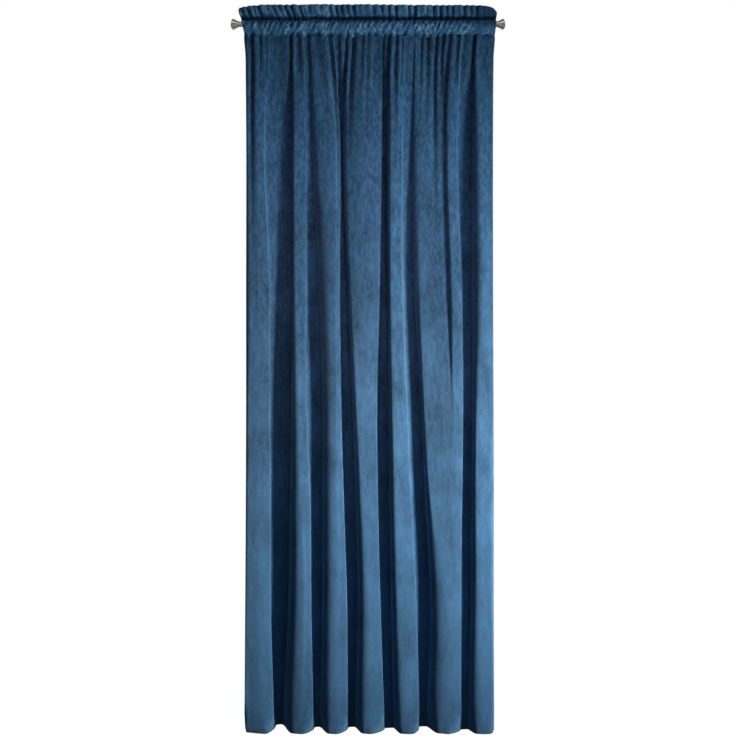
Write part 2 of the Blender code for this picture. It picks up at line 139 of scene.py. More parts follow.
# ---- Folds, in millimetres, at seven heights from the lower stitch line to the hem ----
Level = namedtuple("Level", "stitch high upper middle lower low hem")
LEVEL_Z = Level(LOWER_STITCH, -0.360, -0.945, -1.290, -1.630, -1.975, HEM)
LEFT_SIDE = Level(-421, -417, -417, -417, -418, -420, -424)
RIGHT_SIDE = Level(432, 430, 430, 431, 432, 432, 434)
LEFT_CURL = Level(8, 12, 17, 20, 18, 15, 16)
RIGHT_CURL = Level(12, 24, 30, 33, 33, 36, 44)
EDGE_SOFTNESS = Level(8, 8, 6, 3, 1.0, 0.5, 0.5)  # how wide the folds' edges are rounded

# A fold runs from its shoulder to its edge and back into the valley on its right. Its slant is how
# far the valley's wall leans out. Its crest is how far along the front its foremost line lies, its
# tilt how far back a wide front lies left of that, as a share of its width past NARROW_FRONT, and
# its turn how far back it lies at the edge. Its corner is how wide it is rounded at the hem.
NARROW_FRONT = 0.040
Fold = namedtuple("Fold", "shoulder edge valley depth slant crest tilt turn corner")
FOLDS = (
    Fold(
        shoulder=Level(-390, -394, -390, -400, -400, -400, -412),
        edge=Level(-345, -358, -337, -336, -334, -334, -322),
        valley=Level(-261, -264, -264, -270, -276, -284, -305),
        depth=Level(8, 26, 56, 86, 96, 98, 108),
        slant=Level(4, 4, -6, -14, -16, -14, -8),
        crest=0.5,
        tilt=0.38,
        turn=Level(5, 5, 5, 4, 2, 9, 14),
        corner=28,
    ),
    Fold(
        shoulder=Level(-247, -250, -248, -242, -234, -222, -240),
        edge=Level(-220, -214, -214, -211, -198, -195, -187),
        valley=Level(-205, -200, -176, -166, -164, -164, -172),
        depth=Level(8, 26, 62, 72, 74, 72, 80),
        slant=Level(0, -3, -4, -10, -13, -11, -4),
        crest=0.5,
        tilt=0.18,
        turn=Level(0, 3, 4, 4, 7, 1, 3),
        corner=33,
    ),
    Fold(
        shoulder=Level(-160, -122, -116, -112, -112, -113, -118),
        edge=Level(-118, -99, -97, -93, -84, -73, -70),
        valley=Level(-72, -89, -71, -58, -47, -40, -50),
        depth=Level(8, 70, 84, 80, 74, 73, 80),
        slant=Level(0, 0, -4, -7, -9, -8, -2),
        crest=0.5,
        tilt=0.18,
        turn=Level(0, 1, 0, 3, 5, 1, 4),
        corner=34,
    ),
    Fold(
        shoulder=Level(-48, -68, -54, -38, -20, -4, -4),
        edge=Level(48, 46, 38, 30, 33, 41, 57),
        valley=Level(72, 63, 66, 68, 71, 76, 84),
        depth=Level(8, 68, 82, 76, 70, 68, 70),
        slant=Level(0, -2, -4, -6, -8, -6, 0),
        crest=0.5,
        tilt=0.18,
        turn=Level(0, 4, 4, 4, 7, 0, 2),
        corner=45,
    ),
    Fold(
        shoulder=Level(92, 80, 78, 85, 93, 104, 126),
        edge=Level(122, 117, 115, 132, 146, 164, 176),
        valley=Level(156, 150, 156, 180, 193, 206, 198),
        depth=Level(6, 32, 62, 68, 74, 82, 86),
        slant=Level(0, 1, 6, 0, -4, -8, -2),
        crest=0.5,
        tilt=0.18,
        turn=Level(4, 6, 11, 6, 5, 4, 3),
        corner=24,
    ),
    Fold(
        shoulder=Level(190, 184, 186, 197, 219, 266, 258),
        edge=Level(318, 304, 321, 324, 321, 315, 318),
        valley=Level(365, 354, 353, 355, 353, 350, 340),
        depth=Level(8, 38, 62, 66, 58, 54, 54),
        slant=Level(4, 2, 0, -7, -7, -6, -1),
        crest=0.7,
        tilt=0.22,
        turn=Level(0, 3, 3, 3, 2, 0, 0),
        corner=44,
    ),
    Fold(
        shoulder=Level(376, 380, 387, 374, 372, 377, 384),
        edge=Level(425, 424, 424, 424, 424, 425, 429),
        valley=RIGHT_SIDE,
        depth=RIGHT_CURL,
        slant=Level(4, 3, 2, 2, 2, 2, 4),
        crest=0.5,
        tilt=0.18,
        turn=Level(8, 12, 18, 20, 13, 9, 8),
        corner=17,
    ),
)

# ---- Gathers, in millimetres: place along the stitch line, depth, and reach down the panel ----
Gather = namedtuple("Gather", "x depth reach")
GATHERS = (
    Gather(-396, 26, 1000),
    Gather(-367, 16, 150),
    Gather(-344, 8, 500),
    Gather(-299, 8, 600),
    Gather(-261, 20, 500),
    Gather(-241, 18, 220),
    Gather(-210, 8, 500),
    Gather(-175, 9, 700),
    Gather(-134, 19, 700),
    Gather(-103, 19, 420),
    Gather(-72, 18, 400),
    Gather(-48, 18, 600),
    Gather(-17, 8, 300),
    Gather(0, 7, 500),
    Gather(21, 9, 420),
    Gather(52, 18, 300),
    Gather(74, 8, 300),
    Gather(96, 17, 700),
    Gather(120, 8, 500),
    Gather(158, 11, 500),
    Gather(184, 8, 300),
    Gather(205, 12, 400),
    Gather(234, 18, 800),
    Gather(254, 16, 300),
    Gather(276, 15, 200),
    Gather(301, 15, 220),
    Gather(328, 8, 560),
    Gather(366, 17, 300),
    Gather(392, 9, 420),
)
# Part of each gather's depth fades just below the heading, the rest over the gather's reach.
NEAR_SHARE = 0.35
NEAR_REACH = 220
SHALLOWNESS = 0.46  # the gathers start shallower by this share at the lower stitch line
SHALLOW_REACH = 170
HOLLOW_SHARPNESS = 1.5  # 1 gives a gather a round hollow, more a narrower one
WIDENING_REACH = 450  # a crease is twice as wide this far below the heading

# ---- A ledge in the sixth fold's front: from its start the cloth sinks back, counted in folds, as
# far as its foot, and stands forward again at its crest. It ends between two heights below the
# heading, in millimetres.
Ledge = namedtuple("Ledge", "start foot crest depth fading_from fading_to")
LEDGE = Ledge(start=5.46, foot=5.594, crest=5.612, depth=12, fading_from=800, fading_to=1400)
LEDGE_BEGINS = 150

# ---- The ruffle above the rod, in millimetres: where its slits are, and how deep they go ----
Slit = namedtuple("Slit", "x depth")
SLITS = (
    Slit(-432, 13),
    Slit(-411, 12),
    Slit(-390, 6),
    Slit(-373, 13),
    Slit(-344, 4),
    Slit(-321, 8),
    Slit(-301, 8),
    Slit(-280, 15),
    Slit(-260, 14),
    Slit(-232, 12),
    Slit(-219, 4),
    Slit(-204, 5),
    Slit(-184, 2),
    Slit(-163, 4),
    Slit(-132, 5),
    Slit(-108, 13),
    Slit(-91, 12),
    Slit(-71, 5),
    Slit(-50, 12),
    Slit(-29, 3),
    Slit(-9, 3),
    Slit(19, 7),
    Slit(46, 7),
    Slit(70, 9),
    Slit(95, 10),
    Slit(115, 3),
    Slit(139, 7),
    Slit(160, 13),
    Slit(180, 3),
    Slit(203, 4),
    Slit(225, 11),
    Slit(248, 11),
    Slit(270, 9),
    Slit(290, 9),
    Slit(308, 3),
    Slit(330, 13),
    Slit(352, 8),
    Slit(373, 8),
    Slit(397, 3),
    Slit(411, 2),
)
SLIT_WIDTH = 6.0
SLIT_RISE = 0.22  # of a slit's depth, how much higher the top edge stands there

# How far the slits lean along the ruffle, to the left at the top.
Lean = namedtuple("Lean", "x lean")
RUFFLE_LEANS = (
    Lean(-445, 17),
    Lean(-240, 17),
    Lean(-180, 3),
    Lean(-120, 8),
    Lean(-60, 10),
    Lean(40, 7),
    Lean(120, 2),
    Lean(220, 0),
    Lean(445, 2),
)

# ---- Small puckers over the rod, in millimetres: ridges that lean by so much for each upward ----
Pucker = namedtuple("Pucker", "length lean height phase")
PUCKERS = (
    Pucker(23, 0.80, 4.2, 0.4),
    Pucker(17, 0.55, 3.4, 2.1),
    Pucker(13, -0.80, 2.8, 4.0),
    Pucker(9, 0.90, 1.6, 5.2),
)
PUCKER_LEVEL = 0.6  # of a pucker's height, where it meets the cloth's own surface
PUCKER_BEND = 1.7  # how far the puckers wander along the rod, in radians of their own wave
PUCKER_SPREAD = 47  # how slowly they wander
PLAIN_END = (0.360, 0.395)  # in metres: right of this the cloth lies plain over the rod

# ---- The pocket's lower edge sags and rises in slow waves, in millimetres ----
Scallop = namedtuple("Scallop", "length height phase")
SCALLOPS = (
    Scallop(67, 1.6, 0.5),
    Scallop(41, 1.4, 2.2),
    Scallop(23, 1.0, 4.4),
)
SCALLOP_RISE = 0.008  # in metres: where the waves are highest above the lower stitch line

# The height of the ruffle's top edge along the rod, both in millimetres.
EdgePoint = namedtuple("EdgePoint", "x height")
RUFFLE_EDGE = (
    EdgePoint(-445, 60),
    EdgePoint(-390, 65),
    EdgePoint(-200, 68),
    EdgePoint(0, 68),
    EdgePoint(200, 66),
    EdgePoint(390, 64),
    EdgePoint(420, 62),
    EdgePoint(434, 57),
    EdgePoint(443, 47),
    EdgePoint(447, 42),
)



# ---------------------------------------------------------------------------- sizes and colours


class ClothSettings(bpy.types.PropertyGroup):
    """Sizes of the curtain panel"""

    thickness: FloatProperty(
        name="Thickness",
        description="Thickness of the velvet with its pile",
        default=0.0022,
        unit="LENGTH",
    )
    side_hem: FloatProperty(
        name="Side hem",
        description="Width of the hems turned back along the sides",
        default=0.025,
        unit="LENGTH",
    )
    bottom_hem: FloatProperty(
        name="Bottom hem",
        description="Height of the hem turned up along the bottom",
        default=0.024,
        unit="LENGTH",
    )
    stitch_pitch: FloatProperty(
        name="Stitch pitch",
        description="From one stitch to the next along a seam",
        default=0.0050,
        unit="LENGTH",
    )
    stitch_width: FloatProperty(
        name="Thread width",
        description="Width of the thread of a stitch",
        default=0.0007,
        unit="LENGTH",
    )
    columns: IntProperty(
        name="Columns",
        description="Mesh columns across the cloth",
        default=440,
        min=60,
    )
    velvet: FloatVectorProperty(
        name="Velvet",
        description="Colour of the pile where it is seen from the front",
        default=(0.045, 0.126, 0.240),
        subtype="COLOR",
    )
    # Painted highlight: this pale colour is mixed in where light would catch the crushed pile.
    crushed_highlight: FloatVectorProperty(
        name="Crushed pile",
        description="Colour of the pile where it stands crushed and catches the light",
        default=(0.205, 0.340, 0.440),
        subtype="COLOR",
    )
    velvet_sheen: FloatVectorProperty(
        name="Sheen",
        description="Colour of the light that the tips of the pile catch",
        default=(0.50, 0.80, 1.00),
        subtype="COLOR",
    )
    backing: FloatVectorProperty(
        name="Backing",
        description="Colour of the plain woven back",
        default=(0.030, 0.085, 0.150),
        subtype="COLOR",
    )
    thread: FloatVectorProperty(
        name="Thread",
        description="Colour of the sewing thread",
        default=(0.018, 0.055, 0.110),
        subtype="COLOR",
    )


class MetalSettings(bpy.types.PropertyGroup):
    """Finish of the rod and its finials"""

    nickel: FloatVectorProperty(
        name="Nickel",
        description="Colour of the nickel plate",
        default=(0.62, 0.60, 0.58),
        subtype="COLOR",
    )
    sides: IntProperty(
        name="Sides",
        description="Facets round a finial",
        default=96,
        min=24,
    )


class StageSettings(bpy.types.PropertyGroup):
    """Camera and light"""

    distance: FloatProperty(
        name="Camera distance",
        description="From the camera to the rod's axis",
        default=3.383,
        unit="LENGTH",
    )
    camera_height: FloatProperty(
        name="Camera height",
        description="Height of the camera, measured from the rod",
        default=-1.182,
        unit="LENGTH",
    )
    lens: FloatProperty(
        name="Lens",
        description="Focal length in millimetres",
        default=48.12,
    )
    key_power: FloatProperty(
        name="Key light",
        description="Power of the large soft light, in watts",
        default=22.0,
        unit="POWER",
    )
    upper_power: FloatProperty(
        name="Upper key light",
        description="Power of the soft light that reaches up to the heading, in watts",
        default=2.9,
        unit="POWER",
    )
    fill_power: FloatProperty(
        name="Fill light",
        description="Power of the weak light from the front, in watts",
        default=0.8,
        unit="POWER",
    )
    back_power: FloatProperty(
        name="Back light",
        description="Power of the light behind the curtain, in watts",
        default=4.0,
        unit="POWER",
    )
    floor_drop: FloatProperty(
        name="Floor",
        description="Gap between the hem and the floor",
        default=0.030,
        unit="LENGTH",
    )


# -------------------------------------------------------------------------------- shape of a row


def curve(places, values, at):
    """Return a smooth line through the given points, read at the places in at."""
    places = np.asarray(places, dtype=float)
    values = np.asarray(values, dtype=float)
    at = np.asarray(at, dtype=float)
    steps = np.diff(places)
    slopes = np.diff(values) / steps
    tangents = np.empty_like(values)
    tangents[1:-1] = (slopes[:-1] * steps[1:] + slopes[1:] * steps[:-1]) / (steps[:-1] + steps[1:])
    tangents[0] = slopes[0]
    tangents[-1] = slopes[-1]
    span = np.clip(np.searchsorted(places, at) - 1, 0, len(steps) - 1)
    width = steps[span]
    f = np.clip((at - places[span]) / width, 0.0, 1.0)
    start = values[span] * (1 + 2 * f) * (1 - f) ** 2 + tangents[span] * width * f * (1 - f) ** 2
    end = values[span + 1] * f * f * (3 - 2 * f) - tangents[span + 1] * width * f * f * (1 - f)
    return start + end


def ease(value):
    """Return 0 up to 0 and 1 from 1, with a smooth rise between them."""
    f = np.clip(value, 0.0, 1.0)
    return f * f * (3 - 2 * f)


def at_height(levels, z):
    """Return a fold's measure at height z, in metres."""
    heights = [-height for height in LEVEL_Z]
    return float(curve(heights, levels, -z)) * MM


def fold_line(z):
    """Return the row at height z before its depth is set: places along it, x and depth.

    A place is a number of folds: 0 at the left side, 1 in the first valley, and so on.
    """
    places = [0.0]
    across = [at_height(LEFT_SIDE, z)]
    rounding = 1 - float(ease((z - HEM) / HEM_ROUNDING_REACH))
    depths = [at_height(LEFT_CURL, z) + LEFT_CORNER * rounding]

    def section(crisp, rounded):
        """Return a measure of the section, between its crisp form and the rounded one at the hem."""
        return crisp + (rounded - crisp) * rounding

    for number, fold in enumerate(FOLDS):
        left = across[-1]
        left_depth = depths[-1]
        shoulder = at_height(fold.shoulder, z)
        edge = at_height(fold.edge, z)
        valley = at_height(fold.valley, z)
        depth = at_height(fold.depth, z)
        slant = at_height(fold.slant, z) * (1 - rounding)
        turn = at_height(fold.turn, z) * (1 - rounding)
        corner = fold.corner * MM
        lean = max(slant, 0.0)
        flank = shoulder - left
        front = edge - shoulder
        middle = section(shoulder + fold.crest * (front - lean), edge - corner)
        softness = min(at_height(EDGE_SOFTNESS, z), SOFTEST * front)
        soft_edge = edge - section(lean + softness, CORNER_START * corner)
        near_edge = edge - section(lean + CRISP, CORNER_MIDDLE * corner)
        at_edge = edge - section(0.0, CORNER_END * corner)
        wide = min(corner / WIDE_CORNER, 1.0)
        tilt = fold.tilt * max(front - NARROW_FRONT, 0.0)
        rise = left_depth - tilt
        points = (
            # the flank, forward from the valley on the left to the shoulder
            (0.12, left + section(0.16, 0.24) * flank, tilt + section(0.64, 0.80) * rise),
            (0.22, left + section(0.32, 0.42) * flank, tilt + section(0.34, 0.44) * rise),
            (0.34, left + 0.64 * flank, tilt + 0.11 * rise),
            (0.46, shoulder, tilt + 0.02 * rise),
            # the front, from its crest to its edge
            (0.60, middle, section(0.03, 0.04) * depth + 0.4 * turn),
            (0.71, soft_edge, section(0.038, 0.11 + 0.09 * wide) * depth + 0.80 * turn),
            (0.76, near_edge, section(0.055, 0.16 + 0.14 * wide) * depth + 0.95 * turn),
            (0.80, at_edge, section(0.09, 0.34 + 0.22 * wide) * depth + turn),
            # the wall, back into the valley on the right
            (0.88, edge + slant, section(0.70, 0.62 + 0.24 * wide) * depth),
            (0.94, edge + slant + 0.14 * (valley - edge), 0.95 * depth),
            (1.00, valley, depth),
        )
        for place, x, back in points:
            places.append(number + place)
            across.append(x)
            depths.append(back)
    return places, across, depths


def gather_places():
    """Return where each gather's hollow lies along the stitch line, counted in folds."""
    fine = np.linspace(0, len(FOLDS), ROW_SAMPLES)
    places, across, _ = fold_line(LOWER_STITCH)
    line = np.maximum.accumulate(curve(places, across, fine))
    return np.interp([gather.x * MM for gather in GATHERS], line, fine)


HOLLOWS = gather_places()
RIDGES = (HOLLOWS[:-1] + HOLLOWS[1:]) / 2
LAST = float(len(FOLDS))


def stitched_across(at):
    """Return x along the lower stitch line, even from each hollow to the next."""
    places = [0.0, *HOLLOWS, LAST]
    across = [LEFT_SIDE.stitch, *(gather.x for gather in GATHERS), RIGHT_SIDE.stitch]
    return np.interp(at, places, across) * MM


def gather_wave(at):
    """Return the heading's gathers: 1 in a hollow, -1 on the ridge between two hollows."""
    knots = [(0.0, -0.2), (HOLLOWS[0] / 2, -1.0), ((HOLLOWS[-1] + LAST) / 2, -1.0), (LAST, -0.2)]
    knots += [(place, 1.0) for place in HOLLOWS]
    knots += [(place, -1.0) for place in RIDGES]
    knots.sort()
    places, values = (np.array(column) for column in zip(*knots))
    span = np.clip(np.searchsorted(places, at) - 1, 0, len(places) - 2)
    f = ease((at - places[span]) / (places[span + 1] - places[span]))
    return values[span] + (values[span + 1] - values[span]) * f


def creases(at, z):
    """Return how deep the gathers still are in the panel at height z, in metres."""
    below = (LOWER_STITCH - z) / MM
    widening = 1 + float(ease(below / WIDENING_REACH))
    left_ends = np.concatenate(([HOLLOWS[0] / 2], RIDGES))
    right_ends = np.concatenate((RIDGES, [(HOLLOWS[-1] + LAST) / 2]))
    near = NEAR_SHARE * ease(below / NEAR_REACH)
    shallow = 1 - SHALLOWNESS * (1 - float(ease(below / SHALLOW_REACH)))
    total = np.zeros_like(at)
    for gather, place, left, right in zip(GATHERS, HOLLOWS, left_ends, right_ends):
        fade = 1 - near - (1 - NEAR_SHARE) * ease(below / gather.reach)
        reach = widening * np.where(at < place, place - left, right - place)
        hollow = (1 - ease(np.abs(at - place) / reach)) ** HOLLOW_SHARPNESS
        total += gather.depth * MM * fade * hollow
    return total * shallow


def ledge(at, z):
    """Return how far back the ledge lies in the panel at height z, in metres."""
    below = (LOWER_STITCH - z) / MM
    fading = ease((below - LEDGE.fading_from) / (LEDGE.fading_to - LEDGE.fading_from))
    depth = LEDGE.depth * MM * ease(below / LEDGE_BEGINS) * (1 - fading)
    sinking = np.clip((at - LEDGE.start) / (LEDGE.foot - LEDGE.start), 0.0, 1.0)
    return depth * sinking * (1 - ease((at - LEDGE.foot) / (LEDGE.crest - LEDGE.foot)))


def row_length(x, y):
    """Return the length of a row."""
    return float(np.hypot(np.diff(x), np.diff(y)).sum())


def deepened(x, folds, narrow, length):
    """Return the row's depth: the folds scaled so that the row has the given length.

    The narrow creases keep their depth. The row is then centred on the rod's plane.
    """
    low, high = 0.0, MOST_DEEPENING
    for _ in range(HALVINGS):
        scale = (low + high) / 2
        if row_length(x, scale * folds + narrow) < length:
            low = scale
        else:
            high = scale
    y = scale * folds + narrow
    steps = np.hypot(np.gradient(x), np.gradient(y))
    return y - float((y * steps).sum() / steps.sum())


def panel_row(z, columns):
    """Return x and y of the cloth's middle at height z below the rod pocket."""
    fine = np.linspace(0, LAST, ROW_SAMPLES)
    places, across, depths = fold_line(z)
    x = curve(places, across, fine)
    near = 1 - float(ease((LOWER_STITCH - z) / END_FLARE_REACH))
    x = x * (1 + END_FLARE * near / CLOTH_WIDTH * 2)
    tight = TIGHTENING * (1 - float(ease((LOWER_STITCH - z) / TIGHTENING_REACH)))
    length = CLOTH_WIDTH * (1 - tight)
    narrow = creases(fine, z) + ledge(fine, z)
    y = deepened(x, curve(places, depths, fine), narrow, length)
    return np.interp(columns, fine, x), np.interp(columns, fine, y)


def bulge(z):
    """Return how far the pocket's layers part at height z: 0 at a stitch line, 1 at the rod."""
    above = ease((UPPER_STITCH - z) / (UPPER_STITCH - COLLAR_RADIUS))
    below = ease((z - LOWER_STITCH) / (-COLLAR_RADIUS - LOWER_STITCH))
    return float(above * below)


def slit_depth(x, z):
    """Return how far back the ruffle's slits reach at height z, in metres."""
    rise = (z - UPPER_STITCH) / (RUFFLE_TOP - UPPER_STITCH)
    places, leans = zip(*RUFFLE_LEANS)
    upright = x / MM + curve(places, leans, x / MM) * (rise - 0.5)
    total = np.zeros_like(x)
    for slit in SLITS:
        total += slit.depth * np.exp(-(((upright - slit.x) / SLIT_WIDTH) ** 2))
    flare = 1 + RUFFLE_FLARE * float(ease(rise))
    return (total * flare - GATHER / MM / 4) * MM


def puckers(x, z):
    """Return how far the small puckers over the rod stand out at height z, in metres."""
    total = np.zeros_like(x)
    for pucker in PUCKERS:
        along = (x - pucker.lean * z) / (pucker.length * MM)
        bend = PUCKER_BEND * np.sin(x / (PUCKER_SPREAD * MM) + pucker.phase)
        ridge = np.abs(np.sin(pi * along + pucker.phase + bend))
        total += pucker.height * MM * (ridge - PUCKER_LEVEL)
    start, end = PLAIN_END
    return total * (1 - ease((x - start) / (end - start)))


def scalloping(x, z):
    """Return how far the pocket's lower edge sags or rises at height z, in metres."""
    wave = np.zeros_like(x)
    for scallop in SCALLOPS:
        wave += scallop.height * MM * np.sin(2 * pi * x / (scallop.length * MM) + scallop.phase)
    middle = (z - LOWER_STITCH - SCALLOP_RISE) / SCALLOP_RISE
    return wave * float(np.exp(-(middle**2)))


def heading_row(z, columns):
    """Return x and y of the cloth's middle at height z in the pocket or the ruffle."""
    x = stitched_across(columns)
    rise = ease((z - LOWER_STITCH) / (RUFFLE_TOP - LOWER_STITCH))
    side = np.abs(x) / (RIGHT_SIDE.stitch * MM)
    widening = np.where(x < 0, LEFT_SPREAD, RIGHT_SPREAD)
    spread = x * (1 + END_FLARE / CLOTH_WIDTH * 2 + widening * rise * side)
    ruffled = float(ease(z / UPPER_STITCH))
    left_over = 1 - (1 - OVER_ROD) * float(ease((z - LOWER_STITCH) / OVER_ROD_REACH))
    depth = (1 - ruffled) * left_over * GATHER / 2 * gather_wave(columns)
    depth += ruffled * slit_depth(spread, z)
    rising = ease((z - LOWER_STITCH) / PUCKERS_RISE)
    over_rod = float(rising * ease((UPPER_STITCH - z) / PUCKERS_FADE))
    depth += over_rod * puckers(spread, z)
    depth += RECESS * (1 - float(ease(abs(z - UPPER_STITCH) / RECESS_REACH)))
    curl = np.where(x < 0, LEFT_END_CURL, RIGHT_END_CURL)
    turned = ease((side - END_CURL_START) / (1 - END_CURL_START))
    return spread, depth + curl * turned * (1 - bulge(z))


def ruffle_row(share, columns):
    """Return x, y and z of a row of the ruffle, at a share of its height."""
    x, y = heading_row(UPPER_STITCH + (RUFFLE_TOP - UPPER_STITCH) * share, columns)
    places, heights = zip(*RUFFLE_EDGE)
    top = curve(np.array(places) * MM, np.array(heights) * MM, x)
    top += SLIT_RISE * np.maximum(slit_depth(x, RUFFLE_TOP), 0.0)
    return x, y, UPPER_STITCH + (top - UPPER_STITCH) * share


def even_columns(count):
    """Return the places of mesh columns: even over the cloth, and closer at the folds' edges."""
    fine = np.linspace(0, LAST, ROW_SAMPLES)
    edges = np.arange(len(FOLDS))[:, None] + EDGE_PLACE
    crowding = np.exp(-(((fine - edges) / EDGE_REACH) ** 2)).sum(axis=0)
    travelled = EDGE_CROWDING * np.cumsum(crowding) / ROW_SAMPLES
    for z in EVEN_HEIGHTS:
        x, y = panel_row(z, fine)
        travelled[1:] += np.cumsum(np.hypot(np.diff(x), np.diff(y)))
    return np.interp(np.linspace(0, travelled[-1], count), travelled, fine)


def stacked(rows):
    """Return rows of (x, y, z) as one grid of points."""
    return np.array([np.stack((x, y, np.broadcast_to(z, x.shape)), axis=1) for x, y, z in rows])


def surface_normals(grid):
    """Return unit normals, pointing back, of a grid of points in rows and columns."""
    normals = np.cross(np.gradient(grid, axis=0), np.gradient(grid, axis=1))
    return normals / np.linalg.norm(normals, axis=2, keepdims=True)


# ------------------------------------------------------------------------------------ the cloth


class Cloth:
    """The panel's skins as grids of points: one row for each height, one column for each place."""

    def __init__(self, settings):
        self.half = settings.thickness / 2
        self.side_hem = settings.side_hem
        self.bottom_hem = settings.bottom_hem
        self.columns = even_columns(settings.columns)
        self.build_layers()
        self.build_skins()

    def build_layers(self):
        """Lay out the middle of the cloth: the panel, both layers of the pocket, the ruffle."""
        columns = self.columns
        shares = np.linspace(1, 0, PANEL_STEPS + 1)[:-1] ** TOP_CROWDING
        even = LOWER_STITCH + (HEM - LOWER_STITCH) * shares
        turn = HEM + self.bottom_hem
        around = [turn - 2 * HEM_STEP, turn, turn + HEM_STEP, turn + 3 * HEM_STEP]
        self.panel_z = np.sort(np.concatenate((even, around)))
        panel = [(*panel_row(z, columns), z) for z in self.panel_z]
        panel.append((*heading_row(LOWER_STITCH, columns), LOWER_STITCH))
        self.panel = stacked(panel)

        part = COLLAR_RADIUS + POCKET_CLEARANCE + GATHER / 2
        heights = np.linspace(LOWER_STITCH, UPPER_STITCH, POCKET_STEPS + 1)
        rows = [(*heading_row(z, columns), z) for z in heights]
        self.front = stacked([(x, y - part * bulge(z), z + scalloping(x, z)) for x, y, z in rows])
        self.back = stacked([(x, y + part * bulge(z), z) for x, y, z in rows])
        shares = np.linspace(0, 1, RUFFLE_STEPS + 1)
        self.ruffle = stacked([ruffle_row(share, columns) for share in shares])

    def build_skins(self):
        """Thicken the layers into the outer skins and the inside of the pocket."""
        front_side = np.concatenate((self.panel, self.front[1:-1], self.ruffle))
        back_side = np.concatenate((self.panel, self.back[1:-1], self.ruffle))
        front_normals = surface_normals(front_side)
        back_normals = surface_normals(back_side)
        hems = self.hem_shares(len(back_side))[:, :, None]
        self.lower_seam = len(self.panel) - 1
        self.upper_seam = self.lower_seam + POCKET_STEPS
        self.outer_front = front_side - self.half * front_normals
        self.outer_back = back_side + self.half * back_normals * (1 + 2 * hems)
        pocket = slice(self.lower_seam, self.upper_seam + 1)
        self.inner_front = (front_side + self.half * front_normals)[pocket]
        self.inner_back = (back_side - self.half * back_normals)[pocket]
        for end, lift in ((0, POCKET_SEAM), (-1, -POCKET_SEAM)):
            meeting = (self.front[end] + self.back[end]) / 2
            meeting[:, 2] += lift
            self.inner_front[end] = meeting
            self.inner_back[end] = meeting

    def hem_shares(self, rows):
        """Return 1 where the hems double the cloth and 0 elsewhere, for each row and column."""
        count = len(self.columns)
        from_side = np.minimum(np.arange(count), np.arange(count)[::-1])
        from_side = from_side * CLOTH_WIDTH / (count - 1)
        sides = 1 - ease((from_side - self.side_hem) / HEM_STEP)
        bottom = np.zeros(rows)
        bottom[: len(self.panel_z)] = 1 - ease((self.panel_z - HEM - self.bottom_hem) / HEM_STEP)
        return np.maximum(bottom[:, None], sides[None, :])

    def mesh(self, name):
        """Return the closed mesh. Faces of the woven back carry material 1, the rest 0."""
        count = len(self.columns)
        grids = (self.outer_front, self.outer_back, self.inner_front, self.inner_back[1:-1])
        starts = np.cumsum([0] + [len(grid) * count for grid in grids])
        points = np.concatenate([grid.reshape(-1, 3) for grid in grids])

        def row(grid, index):
            return starts[grid] + index * count + np.arange(count)

        front = [row(0, index) for index in range(len(self.outer_front))]
        back = [row(1, index) for index in range(len(self.outer_back))]
        inner_front = [row(2, index) for index in range(len(self.inner_front))]
        inner_back = [row(3, index) for index in range(len(self.inner_back) - 2)]
        inner_back = [inner_front[0], *inner_back, inner_front[-1]]

        faces = []
        backing = []

        def strip(low, high, woven=False):
            quads = np.stack((low[:-1], low[1:], high[1:], high[:-1]), axis=1).tolist()
            faces.extend(quads)
            backing.extend(woven if hasattr(woven, "__len__") else [woven] * len(quads))

        for low, high in zip(front[:-1], front[1:]):
            strip(low, high)
        hems = self.hem_shares(len(back)) > 0.5
        for number, (low, high) in enumerate(zip(back[:-1], back[1:])):
            plain = ~(hems[number, :-1] & hems[number, 1:])
            strip(high, low, woven=[number < self.lower_seam and bool(part) for part in plain])
        for low, high in zip(inner_front[:-1], inner_front[1:]):
            strip(high, low, woven=True)
        for low, high in zip(inner_back[:-1], inner_back[1:]):
            strip(low, high, woven=True)
        strip(back[0], front[0])
        strip(front[-1], back[-1])
        for side, turn in ((0, 1), (-1, -1)):
            for ring in self.side_rings(front, back, inner_front, inner_back):
                faces.append([int(line[side]) for line in ring][::turn])
                backing.append(False)

        mesh = bpy.data.meshes.new(name)
        mesh.from_pydata(points.tolist(), [], faces)
        mesh.polygons.foreach_set("material_index", np.array(backing, dtype=np.int32))
        mesh.update()
        return mesh

    def side_rings(self, front, back, inner_front, inner_back):
        """Return the rows of points that each face along the cloth's sides joins, in turn."""
        rings = []
        for low in range(len(front) - 1):
            if self.lower_seam <= low < self.upper_seam:
                step = low - self.lower_seam
                rings.append((front[low], front[low + 1], inner_front[step + 1], inner_front[step]))
                rings.append((inner_back[step], inner_back[step + 1], back[low + 1], back[low]))
            else:
                rings.append((front[low], front[low + 1], back[low + 1], back[low]))
        rings.append((front[self.lower_seam], inner_front[0], back[self.lower_seam]))
        rings.append((front[self.upper_seam], back[self.upper_seam], inner_front[-1]))
        return rings


def path_on(grid, rows, columns):
    """Return points of a grid at fractional rows and columns."""
    low_rows = np.minimum(rows.astype(int), len(grid) - 2)
    low_columns = np.minimum(columns.astype(int), grid.shape[1] - 2)
    up = (rows - low_rows)[:, None]
    along = (columns - low_columns)[:, None]
    lower = grid[low_rows, low_columns] * (1 - along) + grid[low_rows, low_columns + 1] * along
    upper = grid[low_rows + 1, low_columns] * (1 - along)
    upper += grid[low_rows + 1, low_columns + 1] * along
    return lower * (1 - up) + upper * up


